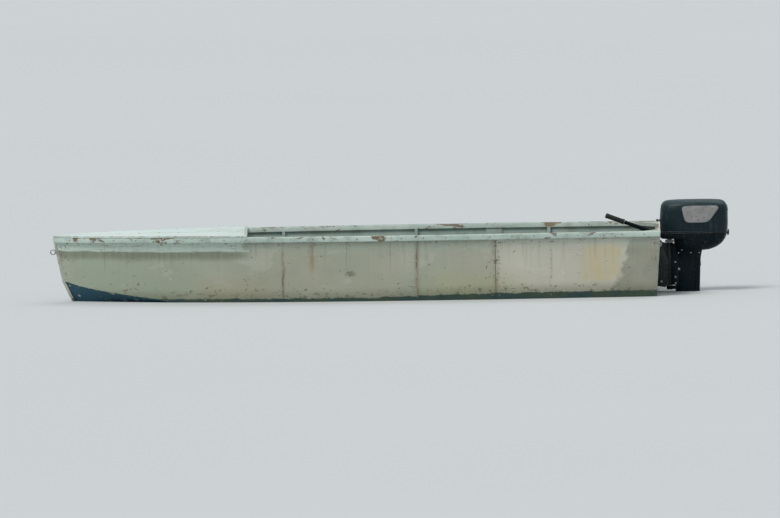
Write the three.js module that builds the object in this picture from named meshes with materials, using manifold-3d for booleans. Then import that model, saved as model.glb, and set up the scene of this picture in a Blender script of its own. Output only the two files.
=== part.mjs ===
// Open hard-chine fishing skiff, 4.4 m, with a tiller-steered outboard motor on its transom.
// Millimetres, +Z up, bow at -X, stern and motor at +X, port side towards -Y.
// z = 0 is the plane of the water the boat floats on.
import * as THREE from 'three';
import { mergeVertices } from 'three/addons/utils/BufferGeometryUtils.js';
import Module from 'manifold-3d';

const wasm = await Module();
wasm.setup();

// ---------- driving dimensions ----------
const LENGTH = 4400;            // hull length on the sheer
const MID = LENGTH / 2;         // stations are measured aft from the bow, X = station - MID
const GAP = 0.3;                // joint line between fitted pieces
const PLY = 10;                 // side and bottom sheet
const STEM_HALF = 24;           // half width of the blunt stem behind the cutwater
const RAKE = 0.07;              // transom rake, X per Z
const SHEER_AFT = 480;          // gunwale height above the water at the transom
const TRANSOM_T = 24;
const NOTCH_Z = 305;            // top of the motor well in the transom
const NOTCH_HALF = 246;
const RAIL_T = 24, RAIL_H = 40;
const INWALE_T = 20, INWALE_H = 34;
const FRAME_T = 22, FRAME_DEPTH = 45, FLOOR_Z = -38;
const FRAME_STATIONS = [1660, 2630, 3600];
const SEAM = 3200;              // butt joint of the side sheets
const BOTTOM_SEAM = 2630;       // butt joint of the bottom sheets, on the middle frame
const DECK_END = 1400, DECK_T = 12;
const BULKHEAD = 1334, BULKHEAD_T = 12;
const BEAM_T = 24, BEAM_H = 58;
const RISER_Z = [186, 230], RISER_T = 20;
const THWART_T = 28;
const THWARTS = [               // first and last station of each seat board
  { name: 'thwart_middle', from: 2330, to: 2570 },
  { name: 'thwart_aft', from: 3330, to: 3570 },
];
const BOARD = { from: 1500, to: 4270, width: 192, pitch: 204, thick: 12 };

// Motor, X and Z of its axes
const TILT = { x: 2196, z: 350 };
const STEER_X = 2270;
const PROP = { x: 2556, z: -236, r: 106 };
const FOLD = { x: 2158, z: 432 };
const TILLER_REACH = 372, TILLER_RISE = 20.5;   // length mm, angle degrees
const CLAMP_Y = [62, 74];

// Hull lines, from the bow aft: sheer and chine x, half beam y, height z; keel x, z
const LINES = [
  { sheer: [0, STEM_HALF, 470], chine: [66, STEM_HALF, 146], keel: [66, 146] },
  { sheer: [215, 196, 474], chine: [222, 122, 104], keel: [170, -24] },
  { sheer: [620, 392, 478], chine: [592, 268, 42], keel: [460, -68] },
  { sheer: [1160, 546, 480], chine: [1112, 408, -18], keel: [980, -90] },
  { sheer: [1960, 662, 480], chine: [1910, 540, -50], keel: [1850, -100] },
  { sheer: [3000, 700, 480], chine: [2970, 590, -68], keel: [2950, -100] },
  { sheer: [LENGTH, 640, SHEER_AFT], chine: [LENGTH - 548 * RAKE, 548, -68], keel: [LENGTH - 580 * RAKE, -100] },
];

// ---------- helpers ----------
const v = (x, y, z) => new THREE.Vector3(x, y, z);

function solid(geometry) {
  const g = geometry.clone();
  g.deleteAttribute('normal');
  g.deleteAttribute('uv');
  const m = mergeVertices(g, 1e-4);
  return new wasm.Manifold(new wasm.Mesh({
    numProp: 3,
    vertProperties: new Float32Array(m.attributes.position.array),
    triVerts: new Uint32Array(m.index.array),
  }));
}

function geometryOf(manifold) {
  const mesh = manifold.getMesh();
  const g = new THREE.BufferGeometry();
  const n = mesh.numProp, count = mesh.vertProperties.length / n;
  const p = new Float32Array(count * 3);
  for (let i = 0; i < count; i++) for (let k = 0; k < 3; k++) p[3 * i + k] = mesh.vertProperties[n * i + k];
  g.setAttribute('position', new THREE.BufferAttribute(p, 3));
  g.setIndex(new THREE.BufferAttribute(new Uint32Array(mesh.triVerts), 1));
  return g;
}

const all = (first, ...rest) => rest.reduce((a, b) => a.add(b), first);
const cut = (first, ...rest) => rest.reduce((a, b) => a.subtract(b), first);
const common = (first, ...rest) => rest.reduce((a, b) => a.intersect(b), first);

function outline(points) {
  const s = new THREE.Shape();
  points.forEach(([a, b], i) => (i ? s.lineTo(a, b) : s.moveTo(a, b)));
  s.closePath();
  return s;
}

function extruded(shape, depth) {
  return new THREE.ExtrudeGeometry(shape, { depth, bevelEnabled: false, curveSegments: 10 });
}

// outline in X, Z, extruded along Y from y0 to y1
function prismXZ(shape, y0, y1) {
  const g = extruded(shape instanceof THREE.Shape ? shape : outline(shape), y1 - y0);
  g.rotateX(Math.PI / 2);
  g.translate(0, y1, 0);
  return solid(g);
}

// outline in X, Y, extruded along Z
function prismXY(shape, z0, z1) {
  const g = extruded(shape instanceof THREE.Shape ? shape : outline(shape), z1 - z0);
  g.translate(0, 0, z0);
  return solid(g);
}

// outline in Y, Z, extruded along X
function prismYZ(shape, x0, x1) {
  const g = extruded(shape instanceof THREE.Shape ? shape : outline(shape), x1 - x0);
  g.applyMatrix4(new THREE.Matrix4().makeBasis(v(0, 1, 0), v(0, 0, 1), v(1, 0, 0)));
  g.translate(x0, 0, 0);
  return solid(g);
}

const box = (x0, x1, y0, y1, z0, z1) => solid(
  new THREE.BoxGeometry(x1 - x0, y1 - y0, z1 - z0).translate((x0 + x1) / 2, (y0 + y1) / 2, (z0 + z1) / 2));

function roundedRect(x0, x1, y0, y1, r) {
  const s = new THREE.Shape();
  s.moveTo(x0 + r, y0); s.lineTo(x1 - r, y0); s.absarc(x1 - r, y0 + r, r, -Math.PI / 2, 0);
  s.lineTo(x1, y1 - r); s.absarc(x1 - r, y1 - r, r, 0, Math.PI / 2);
  s.lineTo(x0 + r, y1); s.absarc(x0 + r, y1 - r, r, Math.PI / 2, Math.PI);
  s.lineTo(x0, y0 + r); s.absarc(x0 + r, y0 + r, r, Math.PI, 1.5 * Math.PI);
  return s;
}

// closed profile of [radius, height] turned about an axis through the origin along `axis`
function turned(profile, axis, at, segments = 28) {
  const g = new THREE.LatheGeometry(profile.map(([r, h]) => new THREE.Vector2(r, h)), segments);
  if (axis === 'x') g.rotateZ(-Math.PI / 2);
  if (axis === 'z') g.rotateX(Math.PI / 2);
  g.translate(...at);
  const m = solid(g);
  return m.volume() > 0 ? m : solid(flipped(g));
}

const rod = (r, axis, from, to, at, segments = 24) =>
  turned([[0, from], [r, from], [r, to], [0, to]], axis, at, segments);

function flipped(g) {
  const out = mergeVertices((() => { const c = g.clone(); c.deleteAttribute('normal'); c.deleteAttribute('uv'); return c; })(), 1e-4);
  const a = out.index.array;
  for (let i = 0; i < a.length; i += 3) [a[i], a[i + 1]] = [a[i + 1], a[i]];
  return out;
}

// closed body through sections that all have the same number of points
function loft(sections) {
  const n = sections[0].length;
  const p = [], idx = [];
  for (const s of sections) for (const q of s) p.push(q.x, q.y, q.z);
  for (let i = 0; i + 1 < sections.length; i++) {
    for (let j = 0; j < n; j++) {
      const a = i * n + j, b = i * n + ((j + 1) % n), c = a + n, d = b + n;
      idx.push(a, b, d, a, d, c);
    }
  }
  const cap = (section, base, turn) => {
    const normal = v(0, 0, 0);
    section.forEach((q, j) => normal.add(v().crossVectors(q, section[(j + 1) % n])));
    normal.normalize();
    const e1 = v().subVectors(section[1], section[0]).normalize();
    const e2 = v().crossVectors(normal, e1).normalize();
    const flat = section.map((q) => new THREE.Vector2(q.dot(e1), q.dot(e2)));
    for (const [a, b, c] of THREE.ShapeUtils.triangulateShape(flat, [])) {
      if (turn) idx.push(base + a, base + b, base + c); else idx.push(base + a, base + c, base + b);
    }
  };
  cap(sections[0], 0, false);
  cap(sections[sections.length - 1], (sections.length - 1) * n, true);
  const g = new THREE.BufferGeometry();
  g.setAttribute('position', new THREE.BufferAttribute(new Float32Array(p), 3));
  g.setIndex(idx);
  let m = solid(g);
  if (m.volume() < 0) m = solid(flipped(g));
  return m;
}

// rounded plan section of a cast or moulded cover
function ring(z, x0, x1, half, e = 3, n = 32, inset = 0) {
  const a = (x1 - x0) / 2 - inset, b = half - inset, c = (x0 + x1) / 2;
  return Array.from({ length: n }, (_, i) => {
    const t = (2 * Math.PI * i) / n, co = Math.cos(t), si = Math.sin(t);
    return v(c + a * Math.sign(co) * Math.abs(co) ** (2 / e), b * Math.sign(si) * Math.abs(si) ** (2 / e), z);
  });
}

const rings = (table, inset = 0, dz = 0, n = 32) =>
  loft(table.map((r) => ring(r.z + dz, r.x0, r.x1, r.half, r.e, n, inset)));

// ---------- hull lines ----------
const curve = (key) => new THREE.CatmullRomCurve3(LINES.map((r) => {
  const q = r[key];
  return key === 'keel' ? v(q[0] - MID, 0, q[1]) : v(q[0] - MID, q[1], q[2]);
}), false, 'centripetal');
const SHEER = curve('sheer'), CHINE = curve('chine'), KEEL = curve('keel');
const STEPS = Array.from({ length: 31 }, (_, i) => (i / 30) ** 1.2);
const EXTRA = 70;   // run-on past the transom before trimming

function frameAt(t) {
  const s = SHEER.getPoint(t), c = CHINE.getPoint(t), k = KEEL.getPoint(t);
  const ts = SHEER.getTangent(Math.max(t, 0.004)), tc = CHINE.getTangent(Math.max(t, 0.004));
  const tk = KEEL.getTangent(Math.max(t, 0.004));
  const up = v().subVectors(s, c).normalize();
  const out = v().subVectors(c, k).normalize();
  const inward = (tangent, across, sign) => {
    const n = v().crossVectors(tangent, across).normalize();
    return n.multiplyScalar(Math.sign(sign(n)) || 1);
  };
  return {
    s, c, k, ts, tc, tk, up, out,
    ns: inward(ts, up, (n) => -n.y), nc: inward(tc, up, (n) => -n.y),
    nk: inward(tk, out, (n) => n.z), nb: inward(tc, out, (n) => n.z),
  };
}
const FRAMES = STEPS.map(frameAt);

const along = (p, d, a) => v().copy(p).addScaledVector(d, a);

// the point of a hull line at a station
function atStation(line, station) {
  let t = 0.3;
  for (let i = 0; i < 40; i++) t = Math.min(Math.max(t + (station - MID - line.getPoint(t).x) / 6500, 0), 1);
  return line.getPoint(t);
}

// everything inboard of one side sheet's outer face, moved inboard by `off`
function sideHalf(off) {
  const rows = FRAMES.map((f) => {
    const top = along(along(f.s, f.ns, off), f.up, 160), low = along(along(f.c, f.nc, off), f.up, -330);
    return [top, low, v(low.x, -900, low.z - 60), v(top.x, -900, top.z + 60)];
  });
  const f = FRAMES[FRAMES.length - 1];
  const last = rows[rows.length - 1];
  rows.push(last.map((q, i) => along(q, i === 0 || i === 3 ? v(f.ts.x, i ? 0 : f.ts.y, 0) : v(f.tc.x, i === 1 ? f.tc.y : 0, 0), EXTRA)));
  return loft(rows);
}

// everything above one bottom sheet's outer face, moved up by `off`
function bottomHalf(off) {
  const rows = FRAMES.map((f) => {
    const edge = along(f.c, f.nb, off);
    const keel = along(f.k, f.nk, off);
    const slope = f.out.z / Math.max(f.out.y, 0.05);
    const past = v(keel.x, -off - 2, keel.z - slope * (off + 2 + keel.y));
    return [v(edge.x, 1000, edge.z + 1), edge, keel, past, v(keel.x, -off - 2.2, -760), v(keel.x, -960, -760), v(keel.x, -960, 1000), v(edge.x, 1000, 1000)];
  });
  rows.push(rows[rows.length - 1].map((q) => v(q.x + EXTRA, q.y, q.z)));
  const first = FRAMES[0];
  const z = first.k.z + off * 0.92;
  rows.unshift([
    v(-MID - 300, 1000, z + 1), v(-MID - 300, STEM_HALF, z), v(-MID - 300, 0, z), v(-MID - 300, -off - 2, z - 0.5),
    v(-MID - 300, -off - 2.2, -760), v(-MID - 300, -960, -760), v(-MID - 300, -960, 1000), v(-MID - 300, 1000, 1000),
  ]);
  return loft(rows);
}

const mirrored = (m) => m.mirror([0, 1, 0]);
const kept = new Map();
const once = (key, make) => { if (!kept.has(key)) kept.set(key, make()); return kept.get(key); };
const sides = (off) => once(`s${off}`, () => { const h = sideHalf(off); return h.intersect(mirrored(h)); });
const bottoms = (off) => once(`b${off}`, () => { const h = bottomHalf(off); return h.intersect(mirrored(h)); });
const inside = (off) => common(sides(off), bottoms(off), sides(PLY), bottoms(PLY));

const sheerPoints = Array.from({ length: 13 }, (_, i) => SHEER.getPoint(i / 12));
const belowSheer = (drop) => once(`z${drop}`, () => prismXZ([
  [-MID - 200, -700], [MID + 250, -700], [MID + 250, SHEER_AFT - drop],
  ...[...sheerPoints].reverse().map((q) => [q.x, q.z - drop]), [-MID - 200, sheerPoints[0].z - drop],
], -900, 900));

// everything forward of the transom's outer face, moved forward by `off`
const foreOf = (off) => once(`t${off}`, () => prismXZ([
  [-MID - 300, -700], [MID - (SHEER_AFT + 700) * RAKE - off, -700],
  [MID + (900 - SHEER_AFT) * RAKE - off, 900], [-MID - 300, 900],
], -950, 950));

const slice = (from, to) => box(from - MID, to - MID, -1000, 1000, -800, 1100);
const half = (sign, from = GAP / 2) => (sign > 0 ? box(-3000, 3000, from, 1000, -800, 1100) : box(-3000, 3000, -1000, -from, -800, 1100));
const faceX = (z, off = 0) => MID - (SHEER_AFT - z) * RAKE - off;   // transom face at height z

// ---------- pieces ----------
const boat = new THREE.Group();
boat.name = 'open_skiff';
const looks = {
  topside: [0xb9bcae, 0.62, 0], topsideAft: [0xcfcbb9, 0.6, 0], bottom: [0x2b5263, 0.65, 0], deck: [0xdfe4de, 0.55, 0],
  rail: [0xc3c9bf, 0.6, 0], timber: [0x9c8f76, 0.75, 0], inside: [0xa9b3ad, 0.7, 0], board: [0x8d8673, 0.8, 0],
  steel: [0x8d9294, 0.4, 0.9], motor: [0x23282b, 0.45, 0.1], casting: [0x3a4144, 0.5, 0.4], cover: [0x1b1f22, 0.35, 0],
  grip: [0x141516, 0.85, 0], block: [0x6a6e70, 0.6, 0.7], screw: [0x9a9da0, 0.35, 1], propeller: [0x4b5053, 0.4, 0.6],
};

function add(parent, name, manifold, look, at = [0, 0, 0]) {
  const [color, roughness, metalness] = looks[look];
  const g = geometryOf(manifold);
  g.translate(-at[0], -at[1], -at[2]);
  g.computeVertexNormals();
  const mesh = new THREE.Mesh(g, new THREE.MeshStandardMaterial({ color, roughness, metalness }));
  mesh.name = name;
  mesh.position.set(...at).sub(parent.userData.at ?? v(0, 0, 0));
  parent.add(mesh);
  return mesh;
}

function nested(parent, name, at) {
  const g = new THREE.Group();
  g.name = name;
  g.userData.at = v(...at);
  g.position.copy(g.userData.at).sub(parent.userData.at ?? v(0, 0, 0));
  parent.add(g);
  return g;
}

const SIDES = [{ name: 'port', sign: -1 }, { name: 'starboard', sign: 1 }];

// hull sheets
const noseWidth = 15.2;
const nose = box(-MID - 80, -MID + 200, -noseWidth, noseWidth, 120, 700);
const sideSkin = cut(common(sides(0), bottoms(PLY + GAP), bottoms(PLY), belowSheer(0), foreOf(0)), sides(PLY), nose);
const bottomSkin = common(bottoms(0), sides(0), foreOf(0)).subtract(bottoms(PLY)).intersect(belowSheer(40));
for (const { name, sign } of SIDES) {
  const skin = common(sideSkin, half(sign));
  add(boat, `side_panel_${name}_forward`, common(skin, slice(-100, SEAM - GAP / 2)), 'topside');
  add(boat, `side_panel_${name}_aft`, common(skin, slice(SEAM + GAP / 2, 5000)), 'topsideAft');
  add(boat, `bottom_panel_${name}_forward`, common(bottomSkin, half(sign), slice(-100, BOTTOM_SEAM - GAP / 2)), 'bottom');
  add(boat, `bottom_panel_${name}_aft`, common(bottomSkin, half(sign), slice(BOTTOM_SEAM + GAP / 2, 5000)), 'bottom');
}

// stem, cutwater and keel
const stemLine = [[0, LINES[0].sheer[2] + 4]];   // station, height, down the stem face and round the forefoot
stemLine.push([LINES[0].chine[0], LINES[0].chine[2]]);
for (const t of [0.03, 0.07, 0.115, 0.17, 0.24, 0.32, 0.4]) { const k = KEEL.getPoint(t); stemLine.push([k.x + MID, k.z]); }
function offsetLine(points, d) {
  return points.map((p, i) => {
    const a = points[Math.max(i - 1, 0)], b = points[Math.min(i + 1, points.length - 1)];
    const dx = b[0] - a[0], dz = b[1] - a[1], l = Math.hypot(dx, dz);
    return [p[0] - MID + (dz / l) * d, p[1] - (dx / l) * d];
  });
}
const band = (points, near, far, halfWidth) =>
  prismXZ([...offsetLine(points, near), ...offsetLine(points, far).reverse()], -halfWidth, halfWidth);
const wedge = common(band(stemLine, -0.5, -78, 200), inside(PLY + GAP));
const tongue = common(band(stemLine.slice(0, 2), -GAP, -30, noseWidth - GAP), box(-3000, 0, -50, 50, 186, 600));
add(boat, 'stem_post', common(all(wedge, tongue), belowSheer(GAP), slice(-50, 620)), 'timber', [-MID, 0, 0]);
add(boat, 'cutwater_strip', cut(common(band(stemLine, -2, 20, 17), belowSheer(2), slice(-60, 690 - GAP)), common(sides(-GAP), bottoms(-GAP))), 'rail', [-MID, 0, 0]);
const keelRun = [[690, 0], ...[700, 900, 1200, 1760, 2950].map((x) => [x, 0]), [LENGTH - 582 * RAKE, 0]].slice(1)
  .map(([x]) => [x, atStation(KEEL, x).z]);
keelRun.unshift([690, keelRun[0][1]]);
const keelBody = prismXZ([
  ...keelRun.map(([x, z]) => [x - MID, z + 6]), ...[...keelRun].reverse().map(([x, z]) => [x - MID, Math.min(z - 20, -122)]),
], -15, 15);
add(boat, 'keel_strip', cut(common(keelBody, foreOf(2)), common(sides(-GAP), bottoms(-GAP))), 'bottom', [0, 0, -100]);

// longitudinals
const chineLog = cut(common(inside(PLY + GAP), foreOf(TRANSOM_T + GAP), slice(420, 5000)), sides(PLY + GAP + 24)).subtract(bottoms(PLY + GAP + 34));
const chineLogRoom = cut(common(bottoms(0), sides(0)), common(sides(PLY + GAP + 24 + GAP))).subtract(bottoms(PLY + GAP + 34 + GAP));
const inwale = cut(common(sides(PLY + GAP), belowSheer(0), foreOf(TRANSOM_T + GAP), slice(150, 5000)), sides(PLY + GAP + INWALE_T), belowSheer(INWALE_H));
const rail = cut(common(sides(-GAP - RAIL_T), belowSheer(0), foreOf(0)), sides(-GAP), belowSheer(RAIL_H), box(-MID - 100, -MID + 100, -25, 25, 300, 700));
for (const { name, sign } of SIDES) {
  add(boat, `chine_log_${name}`, common(chineLog, half(sign)), 'inside');
  add(boat, `inwale_${name}`, common(inwale, half(sign)), 'timber');
  add(boat, `rub_rail_${name}`, common(rail, half(sign)), 'rail');
  const strap = cut(common(sides(PLY + GAP), bottoms(PLY + 2 * GAP + 36), belowSheer(INWALE_H + GAP), slice(SEAM - 60, SEAM + 60)), sides(PLY + GAP + 10));
  add(boat, `side_butt_strap_${name}`, common(strap, half(sign)), 'inside');
}

// frames, with a knee in each lower corner
const KNEE = 90;
FRAME_STATIONS.forEach((at, i) => {
  const corner = atStation(CHINE, at).y - FRAME_DEPTH - 8;
  const hollow = common(sides(PLY + GAP + FRAME_DEPTH), prismYZ([
    [KNEE - corner, FLOOR_Z], [corner - KNEE, FLOOR_Z], [corner, FLOOR_Z + KNEE], [900, FLOOR_Z + KNEE + 1], [900, 900],
    [-900, 900], [-900, FLOOR_Z + KNEE + 1], [-corner, FLOOR_Z + KNEE],
  ], -3000, 3000));
  const frame = cut(common(inside(PLY + GAP), slice(at - FRAME_T / 2, at + FRAME_T / 2), belowSheer(INWALE_H + GAP)), hollow, chineLogRoom);
  add(boat, `frame_${i + 1}`, frame, 'inside', [at - MID, 0, 0]);
});

// foredeck with its beam and bulkhead
const deckBody = common(cut(belowSheer(-GAP - DECK_T), belowSheer(-GAP)), sides(-GAP - RAIL_T - 3), slice(-60, DECK_END));
add(boat, 'foredeck', deckBody, 'deck', [-MID + DECK_END / 2, 0, 480]);
add(boat, 'foredeck_beam', cut(common(sides(PLY + GAP + INWALE_T + GAP), belowSheer(0), slice(DECK_END - BEAM_T, DECK_END)), belowSheer(BEAM_H)), 'timber', [DECK_END - MID, 0, 450]);
const inwaleRoom = cut(common(sides(0), belowSheer(-1)), sides(PLY + GAP + INWALE_T + GAP), belowSheer(INWALE_H + GAP));
const bulkhead = cut(common(inside(PLY + GAP), belowSheer(GAP), slice(BULKHEAD, BULKHEAD + BULKHEAD_T)), chineLogRoom, inwaleRoom,
  prismYZ(roundedRect(-304, 304, 66, 334, 28), -MID + BULKHEAD - 20, -MID + BULKHEAD + 40));
add(boat, 'foredeck_bulkhead', bulkhead, 'inside', [BULKHEAD - MID, 0, 200]);

// seats and floor
const riserBody = cut(common(sides(PLY + GAP + FRAME_DEPTH + GAP), box(BULKHEAD + BULKHEAD_T + GAP - MID, 2090, -900, 900, ...RISER_Z)), sides(PLY + GAP + FRAME_DEPTH + GAP + RISER_T));
for (const { name, sign } of SIDES) add(boat, `seat_riser_${name}`, common(riserBody, half(sign)), 'timber', [0, 0, RISER_Z[0]]);
for (const { name, from, to } of THWARTS) {
  const board = common(sides(PLY + GAP + FRAME_DEPTH + 2 * GAP), prismXY(roundedRect(from - MID, to - MID, -900, 900, 12), RISER_Z[1] + GAP, RISER_Z[1] + GAP + THWART_T));
  add(boat, name, board, 'board', [(from + to) / 2 - MID, 0, RISER_Z[1]]);
}
[['port', -1], ['middle', 0], ['starboard', 1]].forEach(([name, k]) => {
  const y = k * BOARD.pitch;
  add(boat, `floorboard_${name}`, prismXY(roundedRect(BOARD.from - MID, BOARD.to - MID, y - BOARD.width / 2, y + BOARD.width / 2, 10), FLOOR_Z + GAP, FLOOR_Z + GAP + BOARD.thick), 'board', [0, y, FLOOR_Z]);
});

// transom, its pads and knees
const notch = prismYZ(roundedRect(-NOTCH_HALF, NOTCH_HALF, NOTCH_Z, 700, 28), MID - 300, MID + 300);
const transom = cut(common(inside(PLY + GAP), foreOf(0), belowSheer(0)), foreOf(TRANSOM_T), notch);
add(boat, 'transom', transom, 'topsideAft', [MID, 0, NOTCH_Z]);
const rakedPlate = (near, far, halfY, z0, z1) => cut(common(foreOf(near), box(MID - 400, MID + 200, -halfY, halfY, z0, z1)), foreOf(far));
add(boat, 'transom_pad_inner', rakedPlate(TRANSOM_T + GAP, TRANSOM_T + GAP + 18, 190, -20, NOTCH_Z - 1), 'timber', [MID - 40, 0, 150]);
add(boat, 'transom_pad_outer', rakedPlate(-GAP - 8, -GAP, 125, 20, NOTCH_Z - 1), 'timber', [MID, 0, 200]);
for (const { name, sign } of SIDES) {
  const x = MID - TRANSOM_T, tri = [[x + 30, sign * 700], [x + 30, sign * 400], [x - 20, sign * 400], [x - 190, sign * 700]];
  const plate = common(prismXY(sign > 0 ? tri : [...tri].reverse(), 452, 476), sides(PLY + GAP + INWALE_T + GAP), foreOf(TRANSOM_T + GAP));
  add(boat, `quarter_knee_${name}`, plate, 'timber', [x, sign * 560, 452]);
}

// bow eye on the cutwater
const eyeAt = [(470 - 360) * (LINES[0].chine[0] / (LINES[0].sheer[2] - LINES[0].chine[2])) - MID - 21, 0, 360];
const eyeRing = solid(new THREE.TorusGeometry(17, 4, 10, 28).rotateX(Math.PI / 2).translate(eyeAt[0] - 20, 0, eyeAt[2]));
const eyeFoot = rod(13, 'x', -5, 6, [eyeAt[0] - 1, 0, eyeAt[2]], 20);
add(boat, 'bow_eye', cut(all(eyeRing, eyeFoot), band(stemLine, -2, 20 + GAP, 30)), 'steel', eyeAt);

// ---------- outboard motor ----------
// clamp brackets hooked over the well, held by two screws
const fixed = nested(boat, 'motor_mount', [TILT.x, 0, TILT.z]);
const padX = (z) => faceX(z, -8 - 2 * GAP) + 0.5;
const hookProfile = () => {
  const s = new THREE.Shape();
  s.moveTo(padX(44), 44);
  s.lineTo(2236, 36); s.lineTo(2258, 56); s.lineTo(2258, 226); s.lineTo(2231, 300);
  s.lineTo(TILT.x + 25, TILT.z); s.absarc(TILT.x, TILT.z, 25, 0, Math.PI * 0.9);
  s.lineTo(2150, 327); s.lineTo(2108, 323); s.lineTo(2096, 304); s.lineTo(2094, 214); s.lineTo(2118, 208); s.lineTo(2122, 300);
  s.lineTo(faceX(308, 60), NOTCH_Z + 3); s.lineTo(padX(NOTCH_Z + 3), NOTCH_Z + 3);
  s.closePath();
  return s;
};
for (const { name, sign } of SIDES) {
  const [a, b] = sign > 0 ? CLAMP_Y : [-CLAMP_Y[1], -CLAMP_Y[0]];
  const mid = (a + b) / 2;
  const boss = box(2094.5, 2121, mid - 15, mid + 15, 232, 268);
  const body = cut(all(prismXZ(hookProfile(), a, b), boss),
    rod(11 + GAP, 'y', -20, 20, [TILT.x, mid, TILT.z], 28), rod(7 + GAP, 'x', -60, 60, [2100, mid, 250], 20),
    rod(6 + GAP, 'y', -20, 20, [2208, mid, 77], 20));
  add(fixed, `clamp_bracket_${name}`, body, 'casting', [TILT.x, mid, TILT.z]);
  const inner = faceX(250, TRANSOM_T + 18 + 2 * GAP);
  const shaft = all(rod(21, 'x', inner - 6, inner - 1.5, [0, mid, 250], 24), rod(7, 'x', 2052, inner - 4, [0, mid, 250], 20),
    rod(6, 'y', -40, 40, [2053, mid, 250], 16));
  add(fixed, `clamp_screw_${name}`, shaft, 'screw', [2100, mid, 250]);
}
add(fixed, 'tilt_tube', rod(11, 'y', -98, 98, [TILT.x, 0, TILT.z], 28), 'steel', [TILT.x, 0, TILT.z]);
add(fixed, 'thrust_pin', rod(6, 'y', -84, 84, [2208, 0, 77], 20), 'steel', [2208, 0, 77]);

// swivel bracket on the tilt tube
const swivelGroup = nested(boat, 'motor_tilting', [TILT.x, 0, TILT.z]);
const swivelWeb = prismXZ([[TILT.x - 4, TILT.z - 17], [2236, 250], [2236, 100], [2216, 92], [2216, 60], [2262, 48], [2262, 350], [TILT.x + 2, TILT.z + 17]], -20, 20);
const swivelFoot = box(2215, 2244, -54, 54, 64, 90);
const swivelBody = cut(all(rod(20, 'y', -56, 56, [TILT.x, 0, TILT.z], 28), swivelWeb, swivelFoot, rod(29, 'z', 48, 354, [STEER_X, 0, 0], 28)),
  rod(11 + 0.8, 'y', -80, 80, [TILT.x, 0, TILT.z], 28), rod(18 + 0.8, 'z', 0, 500, [STEER_X, 0, 0], 28));
add(swivelGroup, 'swivel_bracket', swivelBody, 'casting', [TILT.x, 0, TILT.z]);

// steered part: everything that turns with the leg
const motor = nested(swivelGroup, 'motor_steered', [STEER_X, 0, 0]);
const LEG = [
  { z: -116, x0: 2322, x1: 2482, half: 33, e: 2.2 }, { z: -40, x0: 2314, x1: 2486, half: 35, e: 2.2 },
  { z: 110, x0: 2310, x1: 2492, half: 38, e: 2.4 }, { z: 240, x0: 2310, x1: 2498, half: 44, e: 2.6 },
  { z: 285, x0: 2308, x1: 2506, half: 58, e: 3 }, { z: 304.7, x0: 2308, x1: 2512, half: 66, e: 3 },
];
const leg = rings(LEG);
const upperYoke = prismXY([[2262, -30], [2330, -46], [2330, 46], [2262, 30], [2240, 14], [2240, -14]], 358, 376);
const lowerYoke = prismXY([[2244, -16], [2262, -30], [2326, -36], [2326, 36], [2262, 30], [2244, 16]], 18, 42);
add(motor, 'drive_shaft_housing', cut(all(leg, lowerYoke), rod(18 + GAP, 'z', 0, 120, [STEER_X, 0, 0], 28)), 'motor', [STEER_X, 0, 0]);
const PAN = [
  { z: 305, x0: 2334, x1: 2560, half: 84, e: 3 }, { z: 320, x0: 2318, x1: 2604, half: 106, e: 3 },
  { z: 352, x0: 2306, x1: 2652, half: 130, e: 3.2 }, { z: 386, x0: 2304, x1: 2678, half: 143, e: 3.4 },
  { z: 389, x0: 2210, x1: 2679, half: 144, e: 3.4 }, { z: 430, x0: 2204, x1: 2694, half: 150, e: 3.6 },
];
const PAN_ROOM = [
  { z: 312, x0: 2345, x1: 2566, half: 82, e: 4 }, { z: 352, x0: 2318, x1: 2640, half: 121, e: 3.2 },
  { z: 394, x0: 2312, x1: 2668, half: 134, e: 3.4 }, { z: 396, x0: 2222, x1: 2669, half: 135, e: 3.4 }, { z: 440, x0: 2212, x1: 2686, half: 142, e: 3.6 },
];
const shaftTop = rod(18, 'z', 14, 384, [STEER_X, 0, 0], 28);
const pan = cut(rings(PAN), rings(PAN_ROOM), rod(18 + GAP, 'z', 300, 500, [STEER_X, 0, 0], 28));
add(motor, 'motor_pan', pan, 'motor', [STEER_X, 0, 400]);
add(motor, 'steering_shaft', all(shaftTop, common(upperYoke, box(2200, 2303, -60, 60, 358, 376))), 'steel', [STEER_X, 0, 0]);
const COVER = [
  { z: 430.4, x0: 2204, x1: 2694, half: 150, e: 3.6 }, { z: 500, x0: 2204, x1: 2699, half: 152, e: 3.7 },
  { z: 580, x0: 2207, x1: 2699, half: 150, e: 3.6 }, { z: 630, x0: 2215, x1: 2690, half: 142, e: 3.3 },
  { z: 652, x0: 2230, x1: 2674, half: 128, e: 3 }, { z: 664, x0: 2256, x1: 2648, half: 104, e: 2.8 }, { z: 668, x0: 2300, x1: 2600, half: 72, e: 2.6 },
];
const coverRoom = rings(COVER.map((r, i) => ({ ...r, z: i === 0 ? r.z - 12 : r.z - (i > 3 ? 5 : 2) })), 5);
add(motor, 'cowl_cover', cut(rings(COVER), coverRoom), 'cover', [STEER_X, 0, 430]);
add(motor, 'powerhead_block', prismXY(roundedRect(2372, 2545, -66, 66, 22), 312.3, 604), 'block', [2460, 0, 320]);

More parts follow.
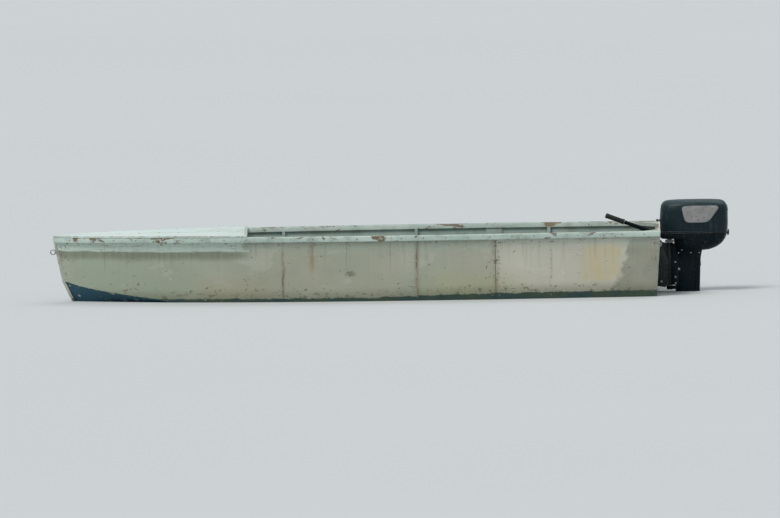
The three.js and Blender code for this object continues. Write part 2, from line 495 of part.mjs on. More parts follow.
// lower unit
const PLATE = new THREE.Shape();
PLATE.moveTo(2300, 0); PLATE.quadraticCurveTo(2312, 46, 2400, 66); PLATE.lineTo(2640, 88); PLATE.lineTo(2648, 60);
PLATE.lineTo(2648, -60); PLATE.lineTo(2640, -88); PLATE.lineTo(2400, -66); PLATE.quadraticCurveTo(2312, -46, 2300, 0);
add(motor, 'ventilation_plate', prismXY(PLATE, -124, -116.3), 'motor', [2470, 0, -120]);
const STRUT = [
  { z: -240, x0: 2330, x1: 2500, half: 21, e: 2 }, { z: -180, x0: 2326, x1: 2498, half: 20, e: 2 }, { z: -124.3, x0: 2322, x1: 2496, half: 27, e: 2 },
];
const torpedo = turned([[0, 2288], [12, 2294], [26, 2314], [37, 2350], [41, 2400], [41, 2450], [37, 2500], [34, 2518], [0, 2518]], 'x', [0, 0, PROP.z], 28);
const skeg = loft([
  [v(2352, -6, -262), v(2478, -5, -262), v(2478, 5, -262), v(2352, 6, -262)],
  [v(2404, -3, -372), v(2474, -3, -372), v(2474, 3, -372), v(2404, 3, -372)],
]);
const shaftEnd = rod(9, 'x', 2500, 2590, [0, 0, PROP.z], 20);
add(motor, 'gearcase', all(rings(STRUT, 0, 0, 28), torpedo, skeg, shaftEnd), 'motor', [2400, 0, PROP.z]);

// propeller with three blades
const propGroup = nested(motor, 'propeller_turning', [PROP.x, 0, PROP.z]);
const bladeSections = [24, 44, 64, 84, 98, 105].map((r, i) => {
  const chord = [46, 64, 78, 78, 56, 22][i], pitch = Math.atan2(230 / (2 * Math.PI), r), t = [4.2, 3.6, 3, 2.4, 1.9, 1.4][i];
  const skew = [0, 3, 7, 13, 20, 26][i];
  return [[-0.5, 0], [-0.2, -0.8], [0.2, -1], [0.5, -0.3], [0.5, 0.3], [0.2, 1], [-0.2, 0.8]].map(([c, h]) => {
    const along1 = c * chord, thick = h * t;
    const tx = along1 * Math.sin(pitch) + thick * Math.cos(pitch);
    const ty = along1 * Math.cos(pitch) - thick * Math.sin(pitch) + skew;
    const angle = ty / r;
    return v(tx + skew * 0.25, r * Math.sin(angle), r * Math.cos(angle));
  });
});
const blade = loft(bladeSections);
const hub = turned([[9.6, -33], [30, -33], [34, -28], [31, 28], [24, 34], [16, 44], [9.6, 44]].concat([[9.6, -33]]), 'x', [0, 0, 0], 28);
const propeller = all(hub, ...[0, 120, 240].map((a) => blade.rotate([a, 0, 0]))).translate([PROP.x, 0, PROP.z]);
add(propGroup, 'propeller', propeller, 'propeller', [PROP.x, 0, PROP.z]);

// tiller: arm and twist grip on a cross pin
const tiller = nested(motor, 'tiller_folding', [FOLD.x, 0, FOLD.z]);
const tilt = (m) => m.rotate([0, TILLER_RISE, 0]).translate([FOLD.x, 0, FOLD.z]);
const armRings = [
  { x: -226, half: 13, high: 13 }, { x: -120, half: 14, high: 15 }, { x: -30, half: 15, high: 17 }, { x: 0, half: 15, high: 17 },
];
const barRing = (r) => Array.from({ length: 16 }, (_, i) => {
  const t = (2 * Math.PI * i) / 16, co = Math.cos(t), si = Math.sin(t);
  return v(r.x, r.half * Math.sign(co) * Math.abs(co) ** 0.7, r.high * Math.sign(si) * Math.abs(si) ** 0.7);
});
const arm = cut(all(loft(armRings.map(barRing)), rod(17, 'y', -15, 15, [0, 0, 0], 24), rod(9, 'x', -TILLER_REACH + 20, -220, [0, 0, 0], 16)),
  rod(7 + 0.6, 'y', -40, 40, [0, 0, 0], 24));
add(tiller, 'tiller_arm', tilt(arm), 'motor', [FOLD.x, 0, FOLD.z]);
const grip = cut(turned([[0, -TILLER_REACH], [16, -TILLER_REACH + 3], [19, -TILLER_REACH + 14], [17, -TILLER_REACH + 30], [17.5, -252], [20, -238], [20, -228], [0, -228]].map(([r, h]) => [r, h]), 'x', [0, 0, 0], 24),
  rod(9 + GAP, 'x', -TILLER_REACH + 20 - GAP, -200, [0, 0, 0], 20));
add(tiller, 'tiller_grip', tilt(grip), 'grip', [FOLD.x - 280, 0, FOLD.z + 105]);
const bracket = cut(all(
  prismXZ([[2198, 396], [2202, 396], [2202, 462], [2198, 462]], -34, 34),
  ...[-1, 1].map((s) => prismXZ([[FOLD.x, FOLD.z - 15], [2200, 400], [2200, 458], [FOLD.x, FOLD.z + 15]], s > 0 ? 20.5 : -30, s > 0 ? 30 : -20.5)),
  ...[-1, 1].map((s) => rod(15, 'y', s > 0 ? 20.5 : -30, s > 0 ? 30 : -20.5, [FOLD.x, 0, FOLD.z], 24)),
  rod(7, 'y', -30, 30, [FOLD.x, 0, FOLD.z], 24)), box(2203.5, 2300, -100, 100, 300, 500));
add(motor, 'tiller_bracket', bracket, 'casting', [2200, 0, FOLD.z]);

// starter grip on the front of the cover, shift lever on the starboard side of the pan
const starter = all(rod(5, 'x', 2192, 2204.2, [0, 0, 520], 16), rod(9, 'y', -42, 42, [2186, 0, 520], 20));
add(motor, 'starter_grip', starter, 'grip', [2190, 0, 520]);
const lever = all(rod(13, 'y', 148.6, 158, [2350, 0, 402], 20), prismXZ([[2340, 400], [2362, 404], [2346, 488], [2330, 484]], 157.5, 163), rod(8, 'y', 155, 166, [2350, 0, 402], 16));
add(motor, 'shift_lever', lever, 'casting', [2350, 150, 402]);

export default boat;
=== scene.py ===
import math
import bpy
import bmesh
import numpy as np
from mathutils import Matrix, Quaternion, Vector


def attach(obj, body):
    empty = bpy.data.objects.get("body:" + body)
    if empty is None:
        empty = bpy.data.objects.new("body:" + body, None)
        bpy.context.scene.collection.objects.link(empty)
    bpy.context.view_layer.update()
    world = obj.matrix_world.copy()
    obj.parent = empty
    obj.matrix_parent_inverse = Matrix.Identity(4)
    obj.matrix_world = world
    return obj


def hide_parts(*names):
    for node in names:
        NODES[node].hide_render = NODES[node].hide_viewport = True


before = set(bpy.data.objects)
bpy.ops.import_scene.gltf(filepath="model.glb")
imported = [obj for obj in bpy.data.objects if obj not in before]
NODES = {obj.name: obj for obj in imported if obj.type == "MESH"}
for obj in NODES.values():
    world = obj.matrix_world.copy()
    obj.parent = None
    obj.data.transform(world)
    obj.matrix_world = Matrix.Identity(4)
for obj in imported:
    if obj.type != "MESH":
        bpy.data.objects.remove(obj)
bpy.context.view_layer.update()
rng = np.random.default_rng(11)
MM = 0.001

# ---------------------------------------------------------------- hull lines
MID, PLY, GAP = 2200.0, 10.0, 0.3
RAIL_T, RAIL_H = 24.0, 40.0
INWALE_T, INWALE_H = 20.0, 34.0
FRAME_DEPTH = 45.0
FRAME_X = [-0.540, 0.430, 1.400]
SEAM_X, BOTTOM_SEAM_X = 1.000, 0.430
RAKE, SHEER_AFT = 0.07, 480.0

ROWS = [  # station x from the bow, half beam y, height z, as in the part
    ((0, 24, 470), (66, 24, 146), (66, 146)),
    ((215, 196, 474), (222, 122, 104), (170, -24)),
    ((620, 392, 478), (592, 268, 42), (460, -68)),
    ((1160, 546, 480), (1112, 408, -18), (980, -90)),
    ((1960, 662, 480), (1910, 540, -50), (1850, -100)),
    ((3000, 700, 480), (2970, 590, -68), (2950, -100)),
    ((4400, 640, 480), (4400 - 548 * RAKE, 548, -68), (4400 - 580 * RAKE, -100)),
]


def unit(a):
    return a / np.maximum(np.linalg.norm(a, axis=-1, keepdims=True), 1e-12)


def centripetal(points):
    p = np.array(points, float)
    n = len(p)
    q = np.vstack([2 * p[0] - p[1], p, 2 * p[-1] - p[-2]])

    def at(t):
        s = (n - 1) * np.clip(np.asarray(t, float), 0, 1)
        i = np.minimum(np.floor(s).astype(int), n - 2)
        w = (s - i)[..., None]
        a, b, c, d = q[i], q[i + 1], q[i + 2], q[i + 3]
        k0, k1, k2 = [((u - v) ** 2).sum(-1, keepdims=True) ** 0.25 for u, v in ((a, b), (b, c), (c, d))]
        m1 = ((b - a) / k0 - (c - a) / (k0 + k1) + (c - b) / k1) * k1
        m2 = ((c - b) / k1 - (d - b) / (k1 + k2) + (d - c) / k2) * k1
        return b + m1 * w + (-3 * b + 3 * c - 2 * m1 - m2) * w**2 + (2 * b - 2 * c + m1 + m2) * w**3

    return at


sheer_at = centripetal([(r[0][0] - MID, r[0][1], r[0][2]) for r in ROWS])
chine_at = centripetal([(r[1][0] - MID, r[1][1], r[1][2]) for r in ROWS])
keel_at = centripetal([(r[2][0] - MID, 0, r[2][1]) for r in ROWS])

T = np.linspace(0, 1, 1201)
S, C, K = sheer_at(T), chine_at(T), keel_at(T)


def tangents(line):
    t = np.maximum(T, 0.004)
    return unit(line(np.minimum(t + 1e-4, 1)) - line(t - 1e-4))


UP, OUT = unit(S - C), unit(C - K)
TS, TC, TK = tangents(sheer_at), tangents(chine_at), tangents(keel_at)


def facing(n, k, sign):
    n = unit(n)
    return n * np.where(np.sign(n[:, k : k + 1]) * sign < 0, -1, 1)


NS, NC = facing(np.cross(TS, UP), 1, -1), facing(np.cross(TC, UP), 1, -1)
NK, NB = facing(np.cross(TK, OUT), 2, 1), facing(np.cross(TC, OUT), 2, 1)


def ip(a, t):
    t = np.asarray(t, float)
    return np.stack([np.interp(t, T, a[:, k]) for k in range(a.shape[1])], -1)


def side(t, v, off):
    """Starboard side sheet: v is 0 at the chine and 1 at the sheer, off is inboard, all in mm."""
    v = np.asarray(v, float)[..., None]
    off = np.asarray(off, float)[..., None] if np.ndim(off) else off
    c, s = ip(C, t), ip(S, t)
    return c + (s - c) * v + (ip(NC, t) * (1 - v) + ip(NS, t) * v) * off


def bottom(t, w, off):
    """Starboard bottom sheet: w is 0 at the keel and 1 at the chine, off is upwards."""
    w = np.asarray(w, float)[..., None]
    k, c = ip(K, t), ip(C, t)
    return k + (c - k) * w + (ip(NK, t) * (1 - w) + ip(NB, t) * w) * off


def side_t(x, v):
    """t where the side sheet has this x, for arrays x and v of one shape."""
    out = np.zeros_like(x, float)
    for j in np.ndindex(x.shape):
        out[j] = np.interp(x[j], C[:, 0] + (S[:, 0] - C[:, 0]) * v[j], T)
    return out


def solve(f, x, other, k, span):
    x, other = np.broadcast_arrays(np.asarray(x, float), np.asarray(other, float))
    t = np.interp(x, C[:, 0], T)
    v = np.full(x.shape, 0.5)
    dx = np.interp(t, T, np.gradient(C[:, 0], T))
    for _ in range(40):
        p = f(t, v)
        v = v + (other - p[..., k]) / span(t)
        t = np.clip(t + 0.8 * (x - p[..., 0]) / dx, 0, 1)
    return f(t, v)


def side_y(x, z, off=0.0):
    """Half width in metres of the side sheet's outer face, moved inboard by off mm, at x and z in metres."""
    x, z = np.asarray(x, float) / MM, np.asarray(z, float) / MM
    p = solve(lambda t, v: side(t, v, off), x, z, 2, lambda t: np.interp(t, T, S[:, 2] - C[:, 2]))
    return p[..., 1] * MM


def bottom_z(x, y, off=0.0):
    x, y = np.asarray(x, float) / MM, np.abs(np.asarray(y, float)) / MM
    p = solve(lambda t, w: bottom(t, w, off), x, y, 1, lambda t: np.maximum(np.interp(t, T, C[:, 1]), 30))
    return p[..., 2] * MM


def sheer_z(x):
    return np.interp(np.asarray(x, float) / MM, S[:, 0], S[:, 2]) * MM


# ---------------------------------------------------------------- small tools
def waves(p, scale, seed, octaves=3):
    """Smooth pseudo-random field from a few sines, about -1 to 1."""
    r = np.random.default_rng(seed)
    total = np.zeros(p.shape[:-1])
    weight = 0
    for o in range(octaves):
        for _ in range(5):
            k = r.normal(size=3)
            k *= scale * (1.9**o) / np.linalg.norm(k)
            total += np.sin(p @ k + r.uniform(0, 6.28)) * 0.55**o
            weight += 0.5 * 0.55 ** (2 * o)
    return total / math.sqrt(max(weight, 1e-9)) / 1.6


def quads(m, n, closed=False, flip=False):
    f = []
    for i in range(m - 1):
        for j in range(n if closed else n - 1):
            a, b = i * n + j, i * n + (j + 1) % n
            f.append((a, b, b + n, a + n) if not flip else (a, a + n, b + n, b))
    return f


def sheet(outer, inner):
    """Closed body between two grids of points."""
    m, n, _ = outer.shape
    v = np.vstack([outer.reshape(-1, 3), inner.reshape(-1, 3)])
    k = m * n
    f = quads(m, n) + [tuple(i + k for i in q) for q in quads(m, n, flip=True)]
    rim = [(i, 0) for i in range(m - 1, 0, -1)] + [(0, j) for j in range(n - 1)] + [(i, n - 1) for i in range(m - 1)] + [(m - 1, j) for j in range(n - 1, 0, -1)]
    ids = [i * n + j for i, j in rim]
    for a, b in zip(ids, ids[1:] + ids[:1]):
        f.append((b, a, a + k, b + k))
    return v, f


def loft(rings, caps=True):
    rings = np.asarray(rings, float)
    m, n, _ = rings.shape
    f = quads(m, n, closed=True)
    if caps:
        f.append(tuple(range(n - 1, -1, -1)))
        f.append(tuple(range((m - 1) * n, m * n)))
    return rings.reshape(-1, 3), f


AXES = {"x": (1, 2, 0), "y": (2, 0, 1), "z": (0, 1, 2)}


def turn(profile, axis, at, n=32, mod=None):
    """Body turned about an axis: profile of (radius, height), with mod(angle, height) scaling the radius."""
    a = np.linspace(0, 2 * np.pi, n, endpoint=False)
    i, j, k = AXES[axis]
    rings = []
    for r, h in profile:
        ring = np.zeros((n, 3))
        rr = r * (mod(a, h) if mod else 1)
        ring[:, i], ring[:, j], ring[:, k] = rr * np.cos(a), rr * np.sin(a), h
        rings.append(ring + np.array(at))
    return loft(rings)


def bm_out(bm):
    bmesh.ops.recalc_face_normals(bm, faces=bm.faces)
    bm.verts.index_update()
    v = np.array([q.co[:] for q in bm.verts])
    f = [tuple(q.index for q in face.verts) for face in bm.faces]
    bm.free()
    return v, f


def rounded(bm, r, seg):
    if r > 0:
        edges = [e for e in bm.edges if len(e.link_faces) == 2 and e.calc_face_angle(0) > math.radians(28)]
        bmesh.ops.bevel(bm, geom=edges, offset=r, segments=seg, profile=0.5, affect="EDGES", clamp_overlap=True)


def prism(points, axis, a, b, r=0.0, seg=2):
    """Outline in the plane across an axis, from a to b along it, with rounded edges."""
    i, j, k = {"x": (1, 2, 0), "y": (0, 2, 1), "z": (0, 1, 2)}[axis]
    bm = bmesh.new()
    vs = []
    for p in points:
        co = [0.0, 0.0, 0.0]
        co[i], co[j], co[k] = p[0], p[1], a
        vs.append(bm.verts.new(co))
    face = bm.faces.new(vs)
    ext = bmesh.ops.extrude_face_region(bm, geom=[face])
    d = [0.0, 0.0, 0.0]
    d[k] = b - a
    bmesh.ops.translate(bm, verts=[g for g in ext["geom"] if isinstance(g, bmesh.types.BMVert)], vec=d)
    bmesh.ops.recalc_face_normals(bm, faces=bm.faces)
    rounded(bm, r, seg)
    return bm_out(bm)


def block(x0, x1, y0, y1, z0, z1, r=0.0, seg=2):
    return prism([(x0, y0), (x1, y0), (x1, y1), (x0, y1)], "z", z0, z1, r, seg)


def arc(cx, cy, r, a0, a1, n=8):
    t = np.radians(np.linspace(a0, a1, n))
    return [(cx + r * math.cos(q), cy + r * math.sin(q)) for q in t]


def tube(points, r, n=16, close_r=None):
    """Round bar along points, r a number or one radius a point."""
    p = np.asarray(points, float)
    rr = np.broadcast_to(np.asarray(r, float), (len(p),))
    tan = unit(np.gradient(p, axis=0))
    ref = np.array([0, 0, 1.0]) if abs(tan[0][2]) < 0.9 else np.array([1.0, 0, 0])
    u = unit(np.cross(tan[0], ref))
    rings = []
    a = np.linspace(0, 2 * np.pi, n, endpoint=False)
    for q, t, radius in zip(p, tan, rr):
        u = unit(u - t * (u @ t))
        w = np.cross(t, u)
        rings.append(q + radius * (np.cos(a)[:, None] * u + np.sin(a)[:, None] * w))
    return loft(rings)


def basis(n):
    n = np.asarray(n, float) / np.linalg.norm(n)
    ref = np.array([0, 0, 1.0]) if abs(n[2]) < 0.9 else np.array([1.0, 0, 0])
    u = np.cross(ref, n)
    u /= np.linalg.norm(u)
    return u, np.cross(n, u), n


def head(p, n, r=0.0042, h=0.0012, seg=10, sink=0.0006):
    """Low domed screw head at p, facing n."""
    u, w, n = basis(n)
    a = np.linspace(0, 2 * np.pi, seg, endpoint=False)
    rings = []
    for k, (rr, hh) in enumerate(((1.0, -sink), (1.0, 0.25 * h), (0.82, 0.75 * h), (0.35, h))):
        rings.append(np.asarray(p) + n * hh + rr * r * (np.cos(a)[:, None] * u + np.sin(a)[:, None] * w))
    return loft(rings)


def hexhead(p, n, r=0.008, h=0.006):
    u, w, n = basis(n)
    a = np.linspace(0, 2 * np.pi, 6, endpoint=False) + 0.3
    b = np.linspace(0, 2 * np.pi, 6, endpoint=False) + 0.3
    rings = []
    for rr, hh in ((1.0, -0.001), (1.0, 0.82 * h), (0.86, h)):
        rings.append(np.asarray(p) + n * hh + rr * r * (np.cos(a)[:, None] * u + np.sin(b)[:, None] * w))
    return loft(rings)


def washer(p, n, r=0.012, h=0.0018, seg=24):
    u, w, n = basis(n)
    a = np.linspace(0, 2 * np.pi, seg, endpoint=False)
    rings = [np.asarray(p) + n * hh + rr * r * (np.cos(a)[:, None] * u + np.sin(a)[:, None] * w) for rr, hh in ((1, -0.001), (1, h * 0.7), (0.94, h))]
    return loft(rings)


def mirror(vf):
    v, f = vf
    v = np.array(v)
    v[:, 1] *= -1
    return v, [tuple(reversed(q)) for q in f]


def swing(vf, angle, at, axis=(0, 1, 0)):
    v, f = vf
    m = np.array(Matrix.Rotation(math.radians(angle), 3, Vector(axis)))
    return (np.asarray(v) - at) @ m.T + at, f


class Body:
    """Several closed shells that make one piece."""

    def __init__(self):
        self.v, self.f, self.m, self.n = [], [], [], 0

    def add(self, vf, mat=0):
        v, f = vf
        self.v.append(np.asarray(v, float))
        self.f += [tuple(i + self.n for i in q) for q in f]
        self.m += [mat] * len(f)
        self.n += len(v)
        return self

    def piece(self, name, body, mats, **kw):
        return piece(name, np.vstack(self.v), self.f, body, mats, face_mats=self.m, **kw)


def piece(name, v, f, body, mats, replaces=(), slot=None, face_mats=None, sharp=38, bevel=None, attributes=None):
    me = bpy.data.meshes.new(name)
    me.from_pydata(np.asarray(v, float).tolist(), [], f)
    for m in mats:
        me.materials.append(m.m)
    if face_mats is not None:
        me.polygons.foreach_set("material_index", np.array(face_mats, np.int32))
    for key, values in (attributes or {}).items():
        at = me.attributes.new(key, "FLOAT", "POINT")
        at.data.foreach_set("value", np.asarray(values, np.float32))
    me.update()
    bm = bmesh.new()
    bm.from_mesh(me)
    bmesh.ops.recalc_face_normals(bm, faces=bm.faces)
    bm.to_mesh(me)
    bm.free()
    me.shade_smooth()
    me.set_sharp_from_angle(angle=math.radians(sharp))
    ob = bpy.data.objects.new(name, me)
    bpy.context.scene.collection.objects.link(ob)
    if bevel:
        soften(ob, *bevel)
    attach(ob, body)
    if replaces:
        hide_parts(*([replaces] if isinstance(replaces, str) else replaces))
    return ob


def soften(ob, width, segments=2):
    m = ob.modifiers.new("edges", "BEVEL")
    m.width, m.segments, m.limit_method, m.angle_limit = width, segments, "ANGLE", math.radians(32)
    m.use_clamp_overlap = True
    m.harden_normals = True


def dress(node, mat, bevel=None):
    """A CAD node that stays: its material and softened edges."""
    ob = NODES[node]
    for s in ob.material_slots:
        s.link = "OBJECT"
        s.material = mat.m
    if bevel:
        soften(ob, *bevel)


# ---------------------------------------------------------------- material graphs
class Mat:
    def __init__(self, name, rough=0.6, metal=0.0, ior=1.45, coat=0.0, coat_rough=0.15, spec=0.5):
        self.m = bpy.data.materials.new(name)
        self.m.use_nodes = True
        self.nt = self.m.node_tree
        self.nt.nodes.clear()
        out = self.nt.nodes.new("ShaderNodeOutputMaterial")
        self.b = self.nt.nodes.new("ShaderNodeBsdfPrincipled")
        self.nt.links.new(self.b.outputs[0], out.inputs[0])
        self.b.inputs["Roughness"].default_value = rough
        self.b.inputs["Metallic"].default_value = metal
        self.b.inputs["IOR"].default_value = ior
        self.b.inputs["Coat Weight"].default_value = coat
        self.b.inputs["Coat Roughness"].default_value = coat_rough
        self.b.inputs["Specular IOR Level"].default_value = spec
        tc = self.nt.nodes.new("ShaderNodeTexCoord")
        self.p = tc.outputs["Object"]
        self.geo = self.nt.nodes.new("ShaderNodeNewGeometry")
        sx = self.nt.nodes.new("ShaderNodeSeparateXYZ")
        self.nt.links.new(self.p, sx.inputs[0])
        self.x, self.y, self.z = sx.outputs
        sn = self.nt.nodes.new("ShaderNodeSeparateXYZ")
        self.nt.links.new(self.geo.outputs["Normal"], sn.inputs[0])
        self.nx, self.ny, self.nz = sn.outputs

    def put(self, socket, value):
        if isinstance(value, bpy.types.NodeSocket):
            self.nt.links.new(value, socket)
        elif isinstance(value, (tuple, list)):
            socket.default_value = (*value, 1.0) if len(value) == 3 and len(socket.default_value) == 4 else value
        else:
            socket.default_value = value

    def op(self, kind, a, b=None, c=None, clamp=False):
        n = self.nt.nodes.new("ShaderNodeMath")
        n.operation, n.use_clamp = kind, clamp
        for i, q in enumerate((a, b, c)):
            if q is not None:
                self.put(n.inputs[i], q)
        return n.outputs[0]

    def add(self, a, b):
        return self.op("ADD", a, b)

    def mul(self, *a):
        out = a[0]
        for q in a[1:]:
            out = self.op("MULTIPLY", out, q)
        return out

    def sub(self, a, b):
        return self.op("SUBTRACT", a, b)

    def most(self, *a):
        out = a[0]
        for q in a[1:]:
            out = self.op("MAXIMUM", out, q)
        return out

    def step(self, value, lo, hi, a=0.0, b=1.0, smooth=True):
        n = self.nt.nodes.new("ShaderNodeMapRange")
        n.interpolation_type = "SMOOTHSTEP" if smooth else "LINEAR"
        n.clamp = True
        for i, q in enumerate((value, lo, hi, a, b)):
            self.put(n.inputs[i], q)
        return n.outputs[0]

    def vec(self, x=None, y=None, z=None):
        n = self.nt.nodes.new("ShaderNodeCombineXYZ")
        for i, q in enumerate((x, y, z)):
            if q is not None:
                self.put(n.inputs[i], q)
        return n.outputs[0]

    def scaled(self, s, vector=None):
        n = self.nt.nodes.new("ShaderNodeVectorMath")
        n.operation = "MULTIPLY"
        self.put(n.inputs[0], vector or self.p)
        n.inputs[1].default_value = s if isinstance(s, tuple) else (s, s, s)
        return n.outputs[0]

    def shifted(self, d, vector=None):
        n = self.nt.nodes.new("ShaderNodeVectorMath")
        n.operation = "ADD"
        self.put(n.inputs[0], vector or self.p)
        n.inputs[1].default_value = d
        return n.outputs[0]

    def noise(self, scale, detail=3.0, rough=0.5, vector=None, distort=0.0, seed=None):
        n = self.nt.nodes.new("ShaderNodeTexNoise")
        v = vector or self.p
        if seed is not None:
            v = self.shifted((seed * 3.7, seed * 1.3, seed * 2.1), v)
        self.put(n.inputs["Vector"], v)
        n.inputs["Scale"].default_value = scale
        n.inputs["Detail"].default_value = detail
        n.inputs["Roughness"].default_value = rough
        n.inputs["Distortion"].default_value = distort
        return n.outputs[0]

    def cells(self, scale, vector=None, feature="F1", random=1.0, out="Distance"):
        n = self.nt.nodes.new("ShaderNodeTexVoronoi")
        n.feature = feature
        self.put(n.inputs["Vector"], vector or self.p)
        n.inputs["Scale"].default_value = scale
        n.inputs["Randomness"].default_value = random
        return n.outputs[out]

    def random(self, w):
        n = self.nt.nodes.new("ShaderNodeTexWhiteNoise")
        n.noise_dimensions = "1D"
        self.put(n.inputs["W"], w)
        return n.outputs[0]

    def mix(self, fac, a, b, blend="MIX"):
        n = self.nt.nodes.new("ShaderNodeMix")
        n.data_type, n.blend_type = "RGBA", blend
        self.put(n.inputs[0], fac)
        self.put(n.inputs[6], a)
        self.put(n.inputs[7], b)
        return n.outputs[2]

    def lerp(self, fac, a, b):
        n = self.nt.nodes.new("ShaderNodeMix")
        n.data_type = "FLOAT"
        self.put(n.inputs[0], fac)
        self.put(n.inputs[2], a)
        self.put(n.inputs[3], b)
        return n.outputs[0]

    def attr(self, name):
        n = self.nt.nodes.new("ShaderNodeAttribute")
        n.attribute_name = name
        return n.outputs["Fac"]

    def edge(self, radius, lo=0.02, hi=0.25):
        """1 on outer and inner edges within about this radius."""
        n = self.nt.nodes.new("ShaderNodeBevel")
        n.samples = 4
        n.inputs["Radius"].default_value = radius
        d = self.nt.nodes.new("ShaderNodeVectorMath")
        d.operation = "DOT_PRODUCT"
        self.nt.links.new(n.outputs[0], d.inputs[0])
        self.nt.links.new(self.geo.outputs["True Normal"], d.inputs[1])
        return self.step(self.sub(1.0, d.outputs["Value"]), lo, hi)

    def bump(self, height, strength=0.3, distance=0.002, normal=None):
        n = self.nt.nodes.new("ShaderNodeBump")
        n.inputs["Strength"].default_value = strength
        n.inputs["Distance"].default_value = distance
        self.put(n.inputs["Height"], height)
        if normal is not None:
            self.put(n.inputs["Normal"], normal)
        return n.outputs[0]

    def color(self, c):
        self.put(self.b.inputs["Base Color"], c)
        return self

    def rough(self, r):
        self.put(self.b.inputs["Roughness"], r)
        return self

    def metal(self, r):
        self.put(self.b.inputs["Metallic"], r)
        return self

    def normal(self, n):
        self.put(self.b.inputs["Normal"], n)
        return self

    def drips(self, spacing, top, seed, width=0.006, longest=0.3, vertical=None, offset=0.0):
        """Runs of dirt below a row of fasteners spaced along X, from height top downwards."""
        s = self.add(self.op("DIVIDE", self.x, spacing), offset)
        i = self.op("FLOOR", s)
        r1, r2 = self.random(self.add(i, seed)), self.random(self.add(i, seed + 0.37))
        wander = self.mul(self.sub(self.noise(9.0, 2, 0.5, seed=seed), 0.5), 0.03)
        f = self.op("ABSOLUTE", self.add(self.mul(self.sub(self.op("FRACT", s), 0.5), spacing), wander))
        w = self.mul(self.add(r1, 0.5), width)
        across = self.step(self.op("DIVIDE", f, w), 1.0, 0.0)
        length = self.mul(self.op("POWER", r2, 2.2), longest)
        down = self.sub(top, self.z)
        fade = self.mul(self.step(self.op("DIVIDE", down, self.add(length, 0.02)), 1.0, 0.0), self.step(down, -0.004, 0.004))
        return self.mul(across, fade, self.step(r1, 0.25, 0.7, 0.15, 1.0))


def wood_grain(g, along="x", scale=1.0):
    """Long fibres and growth rings: two factors from 0 to 1."""
    stretch = {"x": (1.4, 26.0, 26.0), "y": (26.0, 1.4, 26.0), "z": (26.0, 26.0, 1.4)}[along]
    v = g.scaled(tuple(q * scale for q in stretch))
    fibre = g.noise(3.2, 6, 0.62, v, 0.3)
    ring = g.noise(0.55, 2, 0.5, v, 1.4)
    bands = g.op("FRACT", g.mul(ring, 7.0))
    ring = g.step(g.op("ABSOLUTE", g.sub(bands, 0.5)), 0.0, 0.5)
    return fibre, ring


def foot_band(g, c, mid):
    """Ragged band of bottom paint, weed and wet stain at the waterline, partly painted shade where the hull meets the
    water.
    """
    rag = g.noise(14.0, 5, 0.6, g.scaled((1.0, 1.0, 0.5)), 0.3, seed=9)
    top = g.add(g.step(g.x, -0.2, 1.2, 0.024, 0.046), g.mul(g.sub(rag, 0.5), 0.036))
    foot = g.step(g.sub(g.z, top), 0.006, -0.004)
    c = g.mix(g.mul(g.step(g.sub(g.z, top), 0.085, 0.0), 0.55), c, (0.165, 0.180, 0.115))
    return g.mix(foot, c, g.mix(g.step(mid, 0.35, 0.65), (0.028, 0.062, 0.060), (0.055, 0.080, 0.048)))


